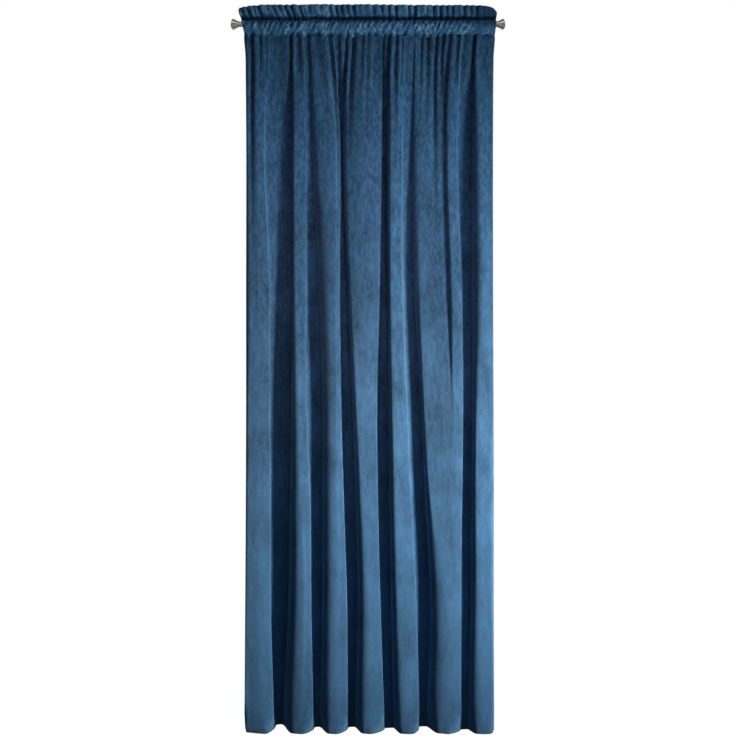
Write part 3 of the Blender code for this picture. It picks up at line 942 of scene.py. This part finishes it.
class Stitching:
    """Rows of thread stitches that lie on the cloth's two faces."""

    def __init__(self, cloth, settings):
        self.cloth = cloth
        self.pitch = settings.stitch_pitch
        self.length = settings.stitch_pitch * STITCH_SHARE
        self.width = settings.stitch_width
        self.corners = []
        self.faces = []

    def sew(self, rows, columns):
        """Sew through the cloth along a path of fractional rows and columns."""
        for grid, side in ((self.cloth.outer_front, -1), (self.cloth.outer_back, 1)):
            points = path_on(grid, rows, columns)
            normals = path_on(surface_normals(grid), rows, columns) * side
            steps = np.linalg.norm(np.diff(points, axis=0), axis=1)
            travelled = np.concatenate(([0.0], np.cumsum(steps)))
            middles = np.arange(self.pitch, travelled[-1] - self.pitch, self.pitch)
            for middle in middles:
                at = [middle - self.length / 2, middle, middle + self.length / 2]
                start, centre, end = (self.read(points, travelled, place) for place in at)
                up = self.read(normals, travelled, middle)
                self.add_stitch(start, centre, end, up / np.linalg.norm(up))

    def read(self, values, travelled, place):
        """Return a value at a distance along the path."""
        return np.array([np.interp(place, travelled, values[:, axis]) for axis in range(3)])

    def add_stitch(self, start, centre, end, up):
        """Add one spindle of thread, partly sunk into the pile."""
        along = end - start
        across = np.cross(up, along)
        across *= self.width / 2 / np.linalg.norm(across)
        lift = up * self.width / 2
        first = len(self.corners)
        self.corners.append(start)
        for share in STITCH_SHOULDERS:
            middle = start + along * share + lift * STITCH_STAND
            self.corners += [middle + across, middle + lift, middle - across, middle - lift]
        self.corners.append(end)
        for side in range(4):
            after = (side + 1) % 4
            near, next_near = first + 1 + side, first + 1 + after
            far, next_far = first + 5 + side, first + 5 + after
            self.faces.append((first, next_near, near))
            self.faces.append((near, next_near, next_far, far))
            self.faces.append((far, next_far, first + 9))

    def mesh(self, name):
        """Return all the stitches as one mesh."""
        mesh = bpy.data.meshes.new(name)
        mesh.from_pydata([tuple(corner) for corner in self.corners], [], self.faces)
        mesh.update()
        return mesh


# -------------------------------------------------------------------------------- turned finials


def finial_outline():
    """Return a finial's outline as (distance from its inner end, radius), axis to axis."""
    length = abs(FINIAL_TIP.x - FINIAL_INNER.x)
    radius = (FINIAL_TIP.z - FINIAL_INNER.z) / 2
    rim_front = length - DOME_HEIGHT
    rim_back = rim_front - RIM_WIDTH
    points = [(0.0, 0.0), (0.0, COLLAR_RADIUS - EDGE_ROUNDING)]
    points += arc(EDGE_ROUNDING, COLLAR_RADIUS - EDGE_ROUNDING, EDGE_ROUNDING, 180, 90)
    for step in range(1, FLARE_STEPS):
        f = step / FLARE_STEPS
        growth = f**FLARE_BEND
        reach = radius - RIM_WIDTH / 4
        across = COLLAR_LENGTH + (rim_back - COLLAR_LENGTH) * f
        points.append((across, COLLAR_RADIUS + (reach - COLLAR_RADIUS) * growth))
    middle = rim_back + RIM_WIDTH / 2
    points += arc(middle, radius - RIM_WIDTH / 2, RIM_WIDTH / 2, 150, 0)
    points.append((rim_front + DOME_STEP, radius - RIM_WIDTH / 2 - DOME_STEP))
    rise = DOME_HEIGHT - DOME_STEP
    reach = radius - RIM_WIDTH / 2 - 2 * DOME_STEP
    for step in range(DOME_STEPS):
        angle = pi / 2 * step / DOME_STEPS
        points.append((rim_front + DOME_STEP + rise * sin(angle), reach * cos(angle)))
    points.append((length, 0.0))
    return points


def arc(x, radius, reach, start, end):
    """Return points of a rounded edge about (x, radius), between two angles in degrees."""
    angles = [radians(start + (end - start) * f / ARC_STEPS) for f in range(ARC_STEPS + 1)]
    return [(x + reach * cos(angle), radius + reach * sin(angle)) for angle in angles]


def turned_mesh(name, outline, sides):
    """Return a mesh turned about the X axis from an outline that starts and ends on it."""
    solid = bmesh.new()
    rings = []
    for x, radius in outline:
        if radius == 0.0:
            rings.append([solid.verts.new((x, 0.0, 0.0))])
            continue
        angles = [2 * pi * side / sides for side in range(sides)]
        rings.append([solid.verts.new((x, radius * cos(a), radius * sin(a))) for a in angles])
    for ring, following in zip(rings[:-1], rings[1:]):
        for side in range(sides):
            after = (side + 1) % sides
            if len(ring) == 1:
                corners = (ring[0], following[side], following[after])
            elif len(following) == 1:
                corners = (ring[side], ring[after], following[0])
            else:
                corners = (ring[side], ring[after], following[after], following[side])
            solid.faces.new(corners)
    bmesh.ops.recalc_face_normals(solid, faces=solid.faces)
    mesh = bpy.data.meshes.new(name)
    solid.to_mesh(mesh)
    solid.free()
    return mesh


# ----------------------------------------------------------------------------------- materials


class Value:
    """A shader socket that can be reckoned with: each operator adds its Math node."""

    def __init__(self, tree, socket):
        self.tree = tree
        self.socket = socket

    def reckon(self, operation, first, second):
        return self.tree.add("ShaderNodeMath", {"operation": operation}, {0: first, 1: second})

    def __add__(self, other):
        return self.reckon("ADD", self, other)

    def __radd__(self, other):
        return self.reckon("ADD", other, self)

    def __sub__(self, other):
        return self.reckon("SUBTRACT", self, other)

    def __rsub__(self, other):
        return self.reckon("SUBTRACT", other, self)

    def __mul__(self, other):
        return self.reckon("MULTIPLY", self, other)

    def __rmul__(self, other):
        return self.reckon("MULTIPLY", other, self)


class Tree:
    """The node tree of a material or a world, with one method that adds any node."""

    def __init__(self, owner):
        owner.use_nodes = True
        self.owner = owner
        self.nodes = owner.node_tree.nodes
        self.links = owner.node_tree.links

    def add(self, kind, settings=None, inputs=None, output=0):
        """Add a node of a kind, set it up, feed its inputs, and return one of its outputs."""
        node = self.nodes.new(kind)
        for name, value in (settings or {}).items():
            if name == "stops":
                self.set_stops(node, value)
            else:
                setattr(node, name, value)
        for name, value in (inputs or {}).items():
            self.feed(node.inputs[name], value)
        return Value(self, node.outputs[output])

    def set_stops(self, node, stops):
        """Give a colour ramp its stops, as (place, colour) pairs."""
        elements = node.color_ramp.elements
        while len(elements) < len(stops):
            elements.new(1.0)
        for element, (place, colour) in zip(elements, stops):
            element.position = place
            element.color = colour

    def feed(self, socket, value):
        """Link a value to a socket, or set the socket to a plain number or colour."""
        if isinstance(value, Value):
            self.links.new(value.socket, socket)
        elif hasattr(value, "__len__") and len(value) == 3 and socket.type == "RGBA":
            socket.default_value = (*value, 1.0)
        else:
            socket.default_value = value

    def mix(self, factor, first, second, blend="MIX"):
        """Return a mix of two colours."""
        settings = {"data_type": "RGBA", "blend_type": blend}
        return self.add("ShaderNodeMix", settings, {0: factor, 6: first, 7: second}, output=2)

    def coordinate(self, axis):
        """Return the object's coordinate along an axis."""
        place = self.add("ShaderNodeTexCoord", output=3)
        return self.add("ShaderNodeSeparateXYZ", None, {0: place}, output=axis)

    def noise(self, scale, detail=2.0, roughness=0.5, along=(1.0, 1.0, 1.0)):
        """Return smooth noise from 0 to 1, drawn out where the scale along an axis is small."""
        place = self.add("ShaderNodeTexCoord", output=3)
        place = self.add("ShaderNodeVectorMath", {"operation": "MULTIPLY"}, {0: place, 1: along})
        inputs = {"Vector": place, "Scale": scale, "Detail": detail, "Roughness": roughness}
        return self.add("ShaderNodeTexNoise", None, inputs)

    def shades(self, value, stops):
        """Return the grey that a value from 0 to 1 meets on a ramp of (place, grey) stops."""
        colours = [(place, (grey, grey, grey, 1.0)) for place, grey in stops]
        return self.add("ShaderNodeValToRGB", {"stops": colours}, {0: value})

    def by_height(self, height, table):
        """Return the colour that a height meets in a table of (height, red, green, blue)."""
        low, high = table[0][0], table[-1][0]
        stops = [((row[0] - low) / (high - low), (*row[1:], 1.0)) for row in table]
        return self.add("ShaderNodeValToRGB", {"stops": stops}, {0: self.ramp(height, low, high)})

    def share_by_height(self, height, table):
        """Return the share that a height meets in a table of (height, share)."""
        return self.by_height(height, [(z, share, share, share) for z, share in table])

    def ramp(self, value, low, high):
        """Return value stretched so that low becomes 0 and high becomes 1."""
        settings = {"clamp": True}
        return self.add("ShaderNodeMapRange", settings, {0: value, 1: low, 2: high})

    def bump(self, height, strength, distance):
        """Return a normal that follows a height."""
        inputs = {"Height": height, "Strength": strength, "Distance": distance}
        return self.add("ShaderNodeBump", None, inputs)

    def surface(self, **inputs):
        """Feed the Principled shader and return the finished material."""
        shader = self.nodes["Principled BSDF"]
        for name, value in inputs.items():
            self.feed(shader.inputs[name.replace("_", " ")], value)
        return self.owner


# Painted light and shade by height: a painted highlight over the rod, where the cloth is drawn
# tight, and on the ruffle, painted shade in the hollow above the rod and below the pocket, and
# darker and lighter bands down the panel. The three shares scale the velvet's colour.
PaintedLight = namedtuple("PaintedLight", "height red green blue")
PAINTED_LIGHT_BY_HEIGHT = (
    PaintedLight(-2.3500, 0.47, 0.52, 0.55),
    PaintedLight(-1.9500, 0.54, 0.56, 0.57),
    PaintedLight(-1.3000, 0.51, 0.50, 0.50),
    PaintedLight(-0.9500, 0.47, 0.49, 0.51),
    PaintedLight(-0.7500, 0.51, 0.54, 0.57),
    PaintedLight(-0.4500, 0.52, 0.60, 0.65),
    PaintedLight(-0.2600, 0.41, 0.52, 0.59),
    PaintedLight(-0.0720, 0.255, 0.335, 0.40),
    PaintedLight(-0.0410, 0.225, 0.295, 0.355),
    PaintedLight(-0.0330, 0.82, 0.89, 0.91),
    PaintedLight(-0.0060, 0.82, 0.89, 0.91),
    PaintedLight(0.0030, 0.42, 0.52, 0.60),
    PaintedLight(0.0080, 0.16, 0.27, 0.38),
    PaintedLight(0.0200, 0.10, 0.21, 0.33),
    PaintedLight(0.0265, 0.16, 0.24, 0.33),
    PaintedLight(0.0325, 0.80, 0.86, 0.90),
    PaintedLight(0.0700, 0.80, 0.86, 0.90),
)
# Painted shade over the plain right end of the heading, in place of the painted light by height.
PLAIN_END_PAINTED_SHADE = (0.30, 0.38, 0.44)
# Painted shade: a dark band along the hem's turned edge, HEM_SHADE high.
HEM_EDGE_PAINTED_SHADE = (0.15, 0.15, 0.18)  # along the hem's turned edge, over HEM_SHADE
HEM_SHADE = 0.014
# How unevenly the pile is brushed, by height: half is the velvet's own unevenness.
Brush = namedtuple("Brush", "height share")
BRUSHED = (
    Brush(-1.80, 0.52),
    Brush(-1.55, 0.80),
    Brush(-0.60, 0.80),
    Brush(-0.35, 0.44),
    Brush(-0.05, 0.32),
)
# How much painted highlight lies on the pile by height, in crushed patches: full over the rod and on
# the ruffle, faint on the panel.
CrushedHighlight = namedtuple("CrushedHighlight", "height share")
CRUSHED_HIGHLIGHT = (
    CrushedHighlight(-1.700, 0.00),
    CrushedHighlight(-0.900, 0.08),
    CrushedHighlight(-0.280, 0.20),
    CrushedHighlight(-0.041, 0.18),
    CrushedHighlight(-0.033, 1.00),
    CrushedHighlight(-0.006, 1.00),
    CrushedHighlight(0.003, 0.10),
    CrushedHighlight(0.018, 0.05),
    CrushedHighlight(0.028, 0.10),
    CrushedHighlight(0.035, 0.85),
    CrushedHighlight(0.070, 0.85),
)
GAP_PLAINNESS = 0.75  # how plain the heading lies between its crushed patches
HEADING_STARTS = (-0.050, -0.045)  # heights between which the heading's patches set in
WANDER = 0.034  # how far the bands of height above wander up and down

# The cloth's own colour times these, where its pile lies dark and where it shines.
DARK_TONE = (0.35, 0.42, 0.49)
SHINING_TONE = (1.74, 1.60, 1.55)
GREENER = (0.88, 1.02, 1.00)  # soft patches shift towards one of these, by TINT_SHARE
REDDER = (1.12, 0.98, 1.04)
TINT_SHARE = 0.7
PILE_SHADE = 0.6  # how dark the pile's roots are
PILE_SHARE = 0.22  # how far they show


def brushed_colour(tree, base, clouds, strokes, flecks, pile):
    """Return the velvet's colour as its pile is brushed, in soft patches and fine grain."""
    tint = tree.noise(26.0, along=(1.0, 1.0, 0.5))
    brushed = clouds * 0.40 + strokes * 0.38 + flecks * 0.22
    uneven = tree.share_by_height(tree.coordinate("Z"), BRUSHED)
    brushed = (brushed - 0.5) * uneven * 2.0 + 0.5
    dark, shining = (Vector(map(mul, base, tone)) for tone in (DARK_TONE, SHINING_TONE))
    colour = tree.mix(tree.ramp(brushed, 0.30, 0.70), dark, shining)
    tinted = tree.mix(tree.ramp(tint, 0.35, 0.65), GREENER, REDDER)
    colour = tree.mix(TINT_SHARE, colour, tinted, blend="MULTIPLY")
    return tree.mix(tree.ramp(pile, 0.3, 0.7) * PILE_SHARE, colour, base * PILE_SHADE)


def painted_light_colour(tree, colour, height, plain):
    """Return a colour with painted light and shade by height, and painted shade along the hem's
    edge.
    """
    painted_light = tree.mix(plain, tree.by_height(height, PAINTED_LIGHT_BY_HEIGHT), PLAIN_END_PAINTED_SHADE)
    colour = tree.mix(1.0, colour, painted_light, blend="MULTIPLY")
    above_hem = tree.ramp(tree.coordinate("Z"), HEM, HEM + HEM_SHADE)
    return tree.mix(1.0, colour, tree.mix(above_hem, HEM_EDGE_PAINTED_SHADE, (1.0, 1.0, 1.0)), blend="MULTIPLY")


def crushed_highlight_share(tree, height, plain):
    """Return the share of painted highlight, in broken crushed patches over the heading and faint
    ones on the panel.
    """
    crushed_highlight = tree.noise(105.0, detail=4.0, roughness=0.65, along=(1.0, 1.0, 0.4))
    share = tree.share_by_height(height, CRUSHED_HIGHLIGHT)
    patches = tree.noise(17.0, detail=1.0, along=(1.0, 0.3, 0.4))
    patches = tree.ramp(patches, 0.42, 0.56)
    in_heading = tree.ramp(tree.coordinate("Z"), *HEADING_STARTS)
    patches = 1.0 - in_heading * (1.0 - patches) * GAP_PLAINNESS
    return tree.ramp(crushed_highlight, 0.45, 0.60) * (1.0 - plain) * share * patches


def velvet_material(settings):
    """Return the pile side of the cloth: deep blue, with painted light and shade by height and a
    painted highlight over the rod.
    """
    tree = Tree(bpy.data.materials.new("blue velvet"))
    clouds = tree.noise(11.0, detail=3.0, roughness=0.55, along=(1.0, 1.0, 0.6))
    strokes = tree.noise(70.0, detail=3.0, roughness=0.6, along=(1.0, 1.0, 0.30))
    flecks = tree.noise(210.0, roughness=0.6)
    pile = tree.noise(800.0, roughness=0.6)
    colour = brushed_colour(tree, Vector(settings.velvet), clouds, strokes, flecks, pile)
    height = tree.coordinate("Z") + (tree.noise(38.0) - 0.5) * WANDER
    plain = tree.ramp(tree.coordinate("X"), *PLAIN_END) * tree.ramp(height, LOWER_STITCH, 0.0)
    # Painted light and shade by height, and painted shade along the hem.
    colour = painted_light_colour(tree, colour, height, plain)
    # Pale crushed patches: a painted highlight over the rod and the ruffle, faint on the panel.
    crushed_highlight = crushed_highlight_share(tree, height, plain)
    return tree.surface(
        Base_Color=tree.mix(crushed_highlight, colour, Vector(settings.crushed_highlight)),
        Roughness=tree.ramp(strokes, 0.3, 0.7) * 0.12 + 0.78,
        Specular_IOR_Level=0.04,
        Sheen_Weight=0.30,
        Sheen_Roughness=0.70,
        Sheen_Tint=settings.velvet_sheen,
        Normal=tree.bump(pile * 0.5 + flecks * 0.3 + strokes * 0.6, 0.5, 0.0022),
    )


def backing_material(settings):
    """Return the woven back of the cloth, matt and plain."""
    tree = Tree(bpy.data.materials.new("woven backing"))
    base = Vector(settings.backing)
    warp = tree.noise(900.0, detail=1.0, along=(1.0, 1.0, 0.03))
    weft = tree.noise(900.0, detail=1.0, along=(0.03, 0.03, 1.0))
    weave = warp * 0.5 + weft * 0.5
    slubs = tree.noise(60.0, detail=3.0, along=(1.0, 1.0, 0.12))
    colour = tree.mix(tree.ramp(weave * 0.7 + slubs * 0.3, 0.35, 0.65), base * 0.8, base * 1.2)
    return tree.surface(
        Base_Color=colour,
        Roughness=tree.ramp(slubs, 0.0, 1.0) * 0.08 + 0.82,
        Specular_IOR_Level=0.2,
        Sheen_Weight=0.25,
        Sheen_Roughness=0.6,
        Normal=tree.bump(weave, 0.4, 0.0005),
    )


def thread_material(settings):
    """Return matt sewing thread with a fine twist."""
    tree = Tree(bpy.data.materials.new("thread"))
    base = Vector(settings.thread)
    twist = tree.noise(1500.0)
    return tree.surface(
        Base_Color=tree.mix(twist, base * 0.8, base * 1.3),
        Roughness=twist * 0.1 + 0.65,
        Specular_IOR_Level=0.3,
        Sheen_Weight=0.2,
        Normal=tree.bump(twist, 0.3, 0.0002),
    )


def nickel_material(settings):
    """Return satin nickel plate with fine turning marks round the rod's axis."""
    tree = Tree(bpy.data.materials.new("satin nickel"))
    base = Vector(settings.nickel)
    marks = tree.noise(1400.0, roughness=0.6, along=(1.0, 0.04, 0.04))
    cloud = tree.noise(90.0, detail=3.0, roughness=0.6)
    colour = tree.mix(tree.ramp(cloud, 0.35, 0.65), base * 0.90, base * 1.06)
    return tree.surface(
        Base_Color=colour,
        Metallic=1.0,
        Roughness=tree.ramp(marks * 0.6 + cloud * 0.4, 0.3, 0.7) * 0.10 + 0.12,
        Normal=tree.bump(marks, 0.12, 0.0003),
    )


def floor_material():
    """Return the matt floor: white to the camera, and dim in the light that it throws back."""
    tree = Tree(bpy.data.materials.new("pale floor"))
    grain = tree.noise(30.0, detail=3.0)
    colour = tree.mix(grain, (0.24, 0.24, 0.24), (0.26, 0.26, 0.26))
    seen = tree.add("ShaderNodeLightPath")
    glow = tree.mix(seen, (0.0, 0.0, 0.0), (0.97, 0.97, 0.97))
    return tree.surface(
        Base_Color=colour,
        Roughness=0.9,
        Specular_IOR_Level=0.1,
        Emission_Color=glow,
        Emission_Strength=1.0,
    )


# ----------------------------------------------------------------------------------- operators


def new_object(name, mesh):
    """Return a new object in the scene that holds a mesh."""
    made = bpy.data.objects.new(name, mesh)
    bpy.context.scene.collection.objects.link(made)
    return made


class CURTAIN_OT_velvet(bpy.types.Operator):
    """Hang the velvet panel on the rod"""

    bl_idname = "curtain.velvet"
    bl_label = "Velvet panel"

    def execute(self, context):
        settings = context.scene.curtain_cloth
        cloth = Cloth(settings)
        mesh = cloth.mesh("velvet_panel")
        mesh.shade_smooth()
        mesh.materials.append(velvet_material(settings))
        mesh.materials.append(backing_material(settings))
        panel = new_object("velvet_panel", mesh)
        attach(panel, "root")
        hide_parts("curtain_panel")

        mesh = self.sew(cloth, settings).mesh("stitching")
        mesh.shade_smooth()
        mesh.materials.append(thread_material(settings))
        stitching = new_object("stitching", mesh)
        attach(stitching, "root")
        return {"FINISHED"}

    def sew(self, cloth, settings):
        """Sew the side hems, the bottom hem and the pocket's two stitch lines."""
        stitching = Stitching(cloth, settings)
        count = len(cloth.columns)
        inset = (settings.side_hem - SEAM_INSET) * (count - 1) / CLOTH_WIDTH
        rows = np.linspace(0, len(cloth.outer_front) - 1, 4 * len(cloth.outer_front))
        for column in (inset, count - 1 - inset):
            stitching.sew(rows, np.full_like(rows, column))
        columns = np.linspace(0, count - 1, 2 * count)
        numbers = np.arange(len(cloth.panel_z))
        seam = np.interp(HEM + settings.bottom_hem - SEAM_INSET, cloth.panel_z, numbers)
        for row in (seam, cloth.lower_seam, cloth.upper_seam):
            stitching.sew(np.full_like(columns, float(row)), columns)
        return stitching


class CURTAIN_OT_metalwork(bpy.types.Operator):
    """Turn the two finials and finish the rod"""

    bl_idname = "curtain.metalwork"
    bl_label = "Rod and finials"

    def execute(self, context):
        settings = context.scene.curtain_metal
        nickel = nickel_material(settings)
        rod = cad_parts["rod"]
        rod.data.materials.clear()
        rod.data.materials.append(nickel)
        rod.data.shade_smooth()
        outline = finial_outline()
        for side, turn in (("left", pi), ("right", 0.0)):
            mesh = turned_mesh("turned_finial_" + side, outline, settings.sides)
            mesh.shade_smooth()
            mesh.materials.append(nickel)
            finial = new_object("turned_finial_" + side, mesh)
            finial.location.x = abs(FINIAL_INNER.x) * cos(turn)
            finial.rotation_euler.z = turn
            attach(finial, "root")
            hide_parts("finial_" + side)
        return {"FINISHED"}


# What polished metal mirrors, by the height of the direction from 0, straight down, to 1.
Box = namedtuple("Box", "rise grey")
BOXES = (
    Box(0.0, 0.22),
    Box(0.25, 0.34),
    Box(0.42, 0.30),
    Box(0.49, 0.05),
    Box(0.55, 0.10),
    Box(0.64, 0.75),
    Box(0.80, 0.95),
    Box(0.90, 0.08),
)
WORLD_LIGHT = (0.25, 0.37, 0.49)  # the even light at its strongest
WORLD_SIDES = (-0.4, 0.8)  # x of the direction from which it is nothing, and full
FLOOR_RADIUS = 12.0

# A light hangs at its place and faces its target. Its spread is in degrees, and its power is the
# name of the setting that holds it.
Light = namedtuple("Light", "name place target size spread colour power")
LIGHTS = (
    Light(
        name="key",
        place=(4.35, -2.85, -1.58),
        target=(0.18, 0.0, -1.64),
        size=(0.6, 1.1),
        spread=26,
        colour=(0.92, 1.0, 1.01),
        power="key_power",
    ),
    Light(
        name="upper key",
        place=(2.60, -2.00, -2.20),
        target=(0.22, 0.0, -0.35),
        size=(1.0, 0.8),
        spread=26,
        colour=(0.66, 0.96, 1.10),
        power="upper_power",
    ),
    Light(
        name="fill",
        place=(0.4, -3.2, -0.9),
        target=(0.0, 0.0, -0.90),
        size=(0.8, 0.8),
        spread=30,
        colour=(1.15, 0.90, 1.05),
        power="fill_power",
    ),
    Light(
        name="back",
        place=(-1.4, 3.2, -0.9),
        target=(0.0, 0.0, -0.90),
        size=(1.0, 1.6),
        spread=180,
        colour=(1.0, 1.0, 1.0),
        power="back_power",
    ),
)


class CURTAIN_OT_stage(bpy.types.Operator):
    """Set up the floor, the lights and the camera"""

    bl_idname = "curtain.stage"
    bl_label = "Stage"

    def execute(self, context):
        settings = context.scene.curtain_stage
        self.make_floor(settings)
        self.make_world(context)
        for light in LIGHTS:
            self.hang(light, getattr(settings, light.power))
        self.make_camera(context, settings)
        return {"FINISHED"}

    def make_floor(self, settings):
        """Lay a pale floor below the hem."""
        mesh = bpy.data.meshes.new("floor")
        shape = bmesh.new()
        bmesh.ops.create_circle(shape, cap_ends=True, segments=64, radius=FLOOR_RADIUS)
        shape.to_mesh(mesh)
        shape.free()
        floor = new_object("floor", mesh)
        floor.location.z = HEM - settings.floor_drop
        floor.visible_glossy = False
        mesh.materials.append(floor_material())

    def make_world(self, context):
        """Surround the stage: white to the camera, a dim even light, soft boxes for the metal."""
        world = bpy.data.worlds.new("studio")
        context.scene.world = world
        tree = Tree(world)
        direction = tree.add("ShaderNodeTexCoord")
        rise = tree.add("ShaderNodeSeparateXYZ", None, {0: direction}, output=2)
        across = tree.add("ShaderNodeSeparateXYZ", None, {0: direction})
        right = tree.ramp(across, *WORLD_SIDES)
        boxes = tree.shades(rise * 0.5 + 0.5, BOXES)
        seen = tree.add("ShaderNodeBackground", None, {0: (1.0, 1.0, 1.0), 1: 1.0})
        mirrored = tree.add("ShaderNodeBackground", None, {0: boxes, 1: 1.0})
        light = tree.mix(right, (0.0, 0.0, 0.0), WORLD_LIGHT)
        even = tree.add("ShaderNodeBackground", None, {0: light, 1: 1.0})
        camera_ray = tree.add("ShaderNodeLightPath")
        glossy_ray = tree.add("ShaderNodeLightPath", output="Is Glossy Ray")
        light = tree.add("ShaderNodeMixShader", None, {0: glossy_ray, 1: even, 2: mirrored})
        light = tree.add("ShaderNodeMixShader", None, {0: camera_ray, 1: light, 2: seen})
        tree.feed(tree.nodes["World Output"].inputs["Surface"], light)

    def hang(self, light, power):
        """Hang a soft rectangular light that faces its target."""
        data = bpy.data.lights.new(light.name, "AREA")
        data.shape = "RECTANGLE"
        data.size, data.size_y = light.size
        data.energy = power
        data.spread = radians(light.spread)
        data.color = light.colour
        lamp = bpy.data.objects.new(light.name, data)
        lamp.location = light.place
        lamp.visible_glossy = False
        facing = Vector(light.target) - Vector(light.place)
        lamp.rotation_euler = facing.to_track_quat("-Z", "Y").to_euler()
        bpy.context.scene.collection.objects.link(lamp)

    def make_camera(self, context, settings):
        """Point the camera straight at the middle of the panel."""
        data = bpy.data.cameras.new("camera")
        data.lens = settings.lens
        camera = bpy.data.objects.new("camera", data)
        camera.location = (0.0, -settings.distance, settings.camera_height)
        camera.rotation_euler = (radians(90), 0.0, 0.0)
        context.scene.collection.objects.link(camera)
        context.scene.camera = camera
        context.scene.view_settings.view_transform = "Standard"


class CURTAIN_PT_sidebar(bpy.types.Panel):
    """Lists the pieces of the curtain and their settings"""

    bl_idname = "CURTAIN_PT_sidebar"
    bl_label = "Velvet curtain"
    bl_space_type = "VIEW_3D"
    bl_region_type = "UI"
    bl_category = "Curtain"

    def draw(self, context):
        layout = self.layout
        for group in SETTINGS:
            box = layout.box()
            owner = getattr(context.scene, group)
            for name in owner.__annotations__:
                box.prop(owner, name)
        for operator in OPERATORS:
            layout.operator(operator.bl_idname)


SETTINGS = {
    "curtain_cloth": ClothSettings,
    "curtain_metal": MetalSettings,
    "curtain_stage": StageSettings,
}
OPERATORS = (CURTAIN_OT_velvet, CURTAIN_OT_metalwork, CURTAIN_OT_stage)
CLASSES = (*SETTINGS.values(), *OPERATORS, CURTAIN_PT_sidebar)


def register():
    """Register the classes and hang their settings on the scene."""
    for made in CLASSES:
        bpy.utils.register_class(made)
    for name, group in SETTINGS.items():
        setattr(bpy.types.Scene, name, PointerProperty(type=group))


def unregister():
    """Take the settings and the classes away again."""
    for name in SETTINGS:
        delattr(bpy.types.Scene, name)
    for made in reversed(CLASSES):
        bpy.utils.unregister_class(made)


def main():
    """Build the whole curtain."""
    register()
    bpy.ops.curtain.velvet()
    bpy.ops.curtain.metalwork()
    bpy.ops.curtain.stage()


if __name__ == "__main__":
    main()
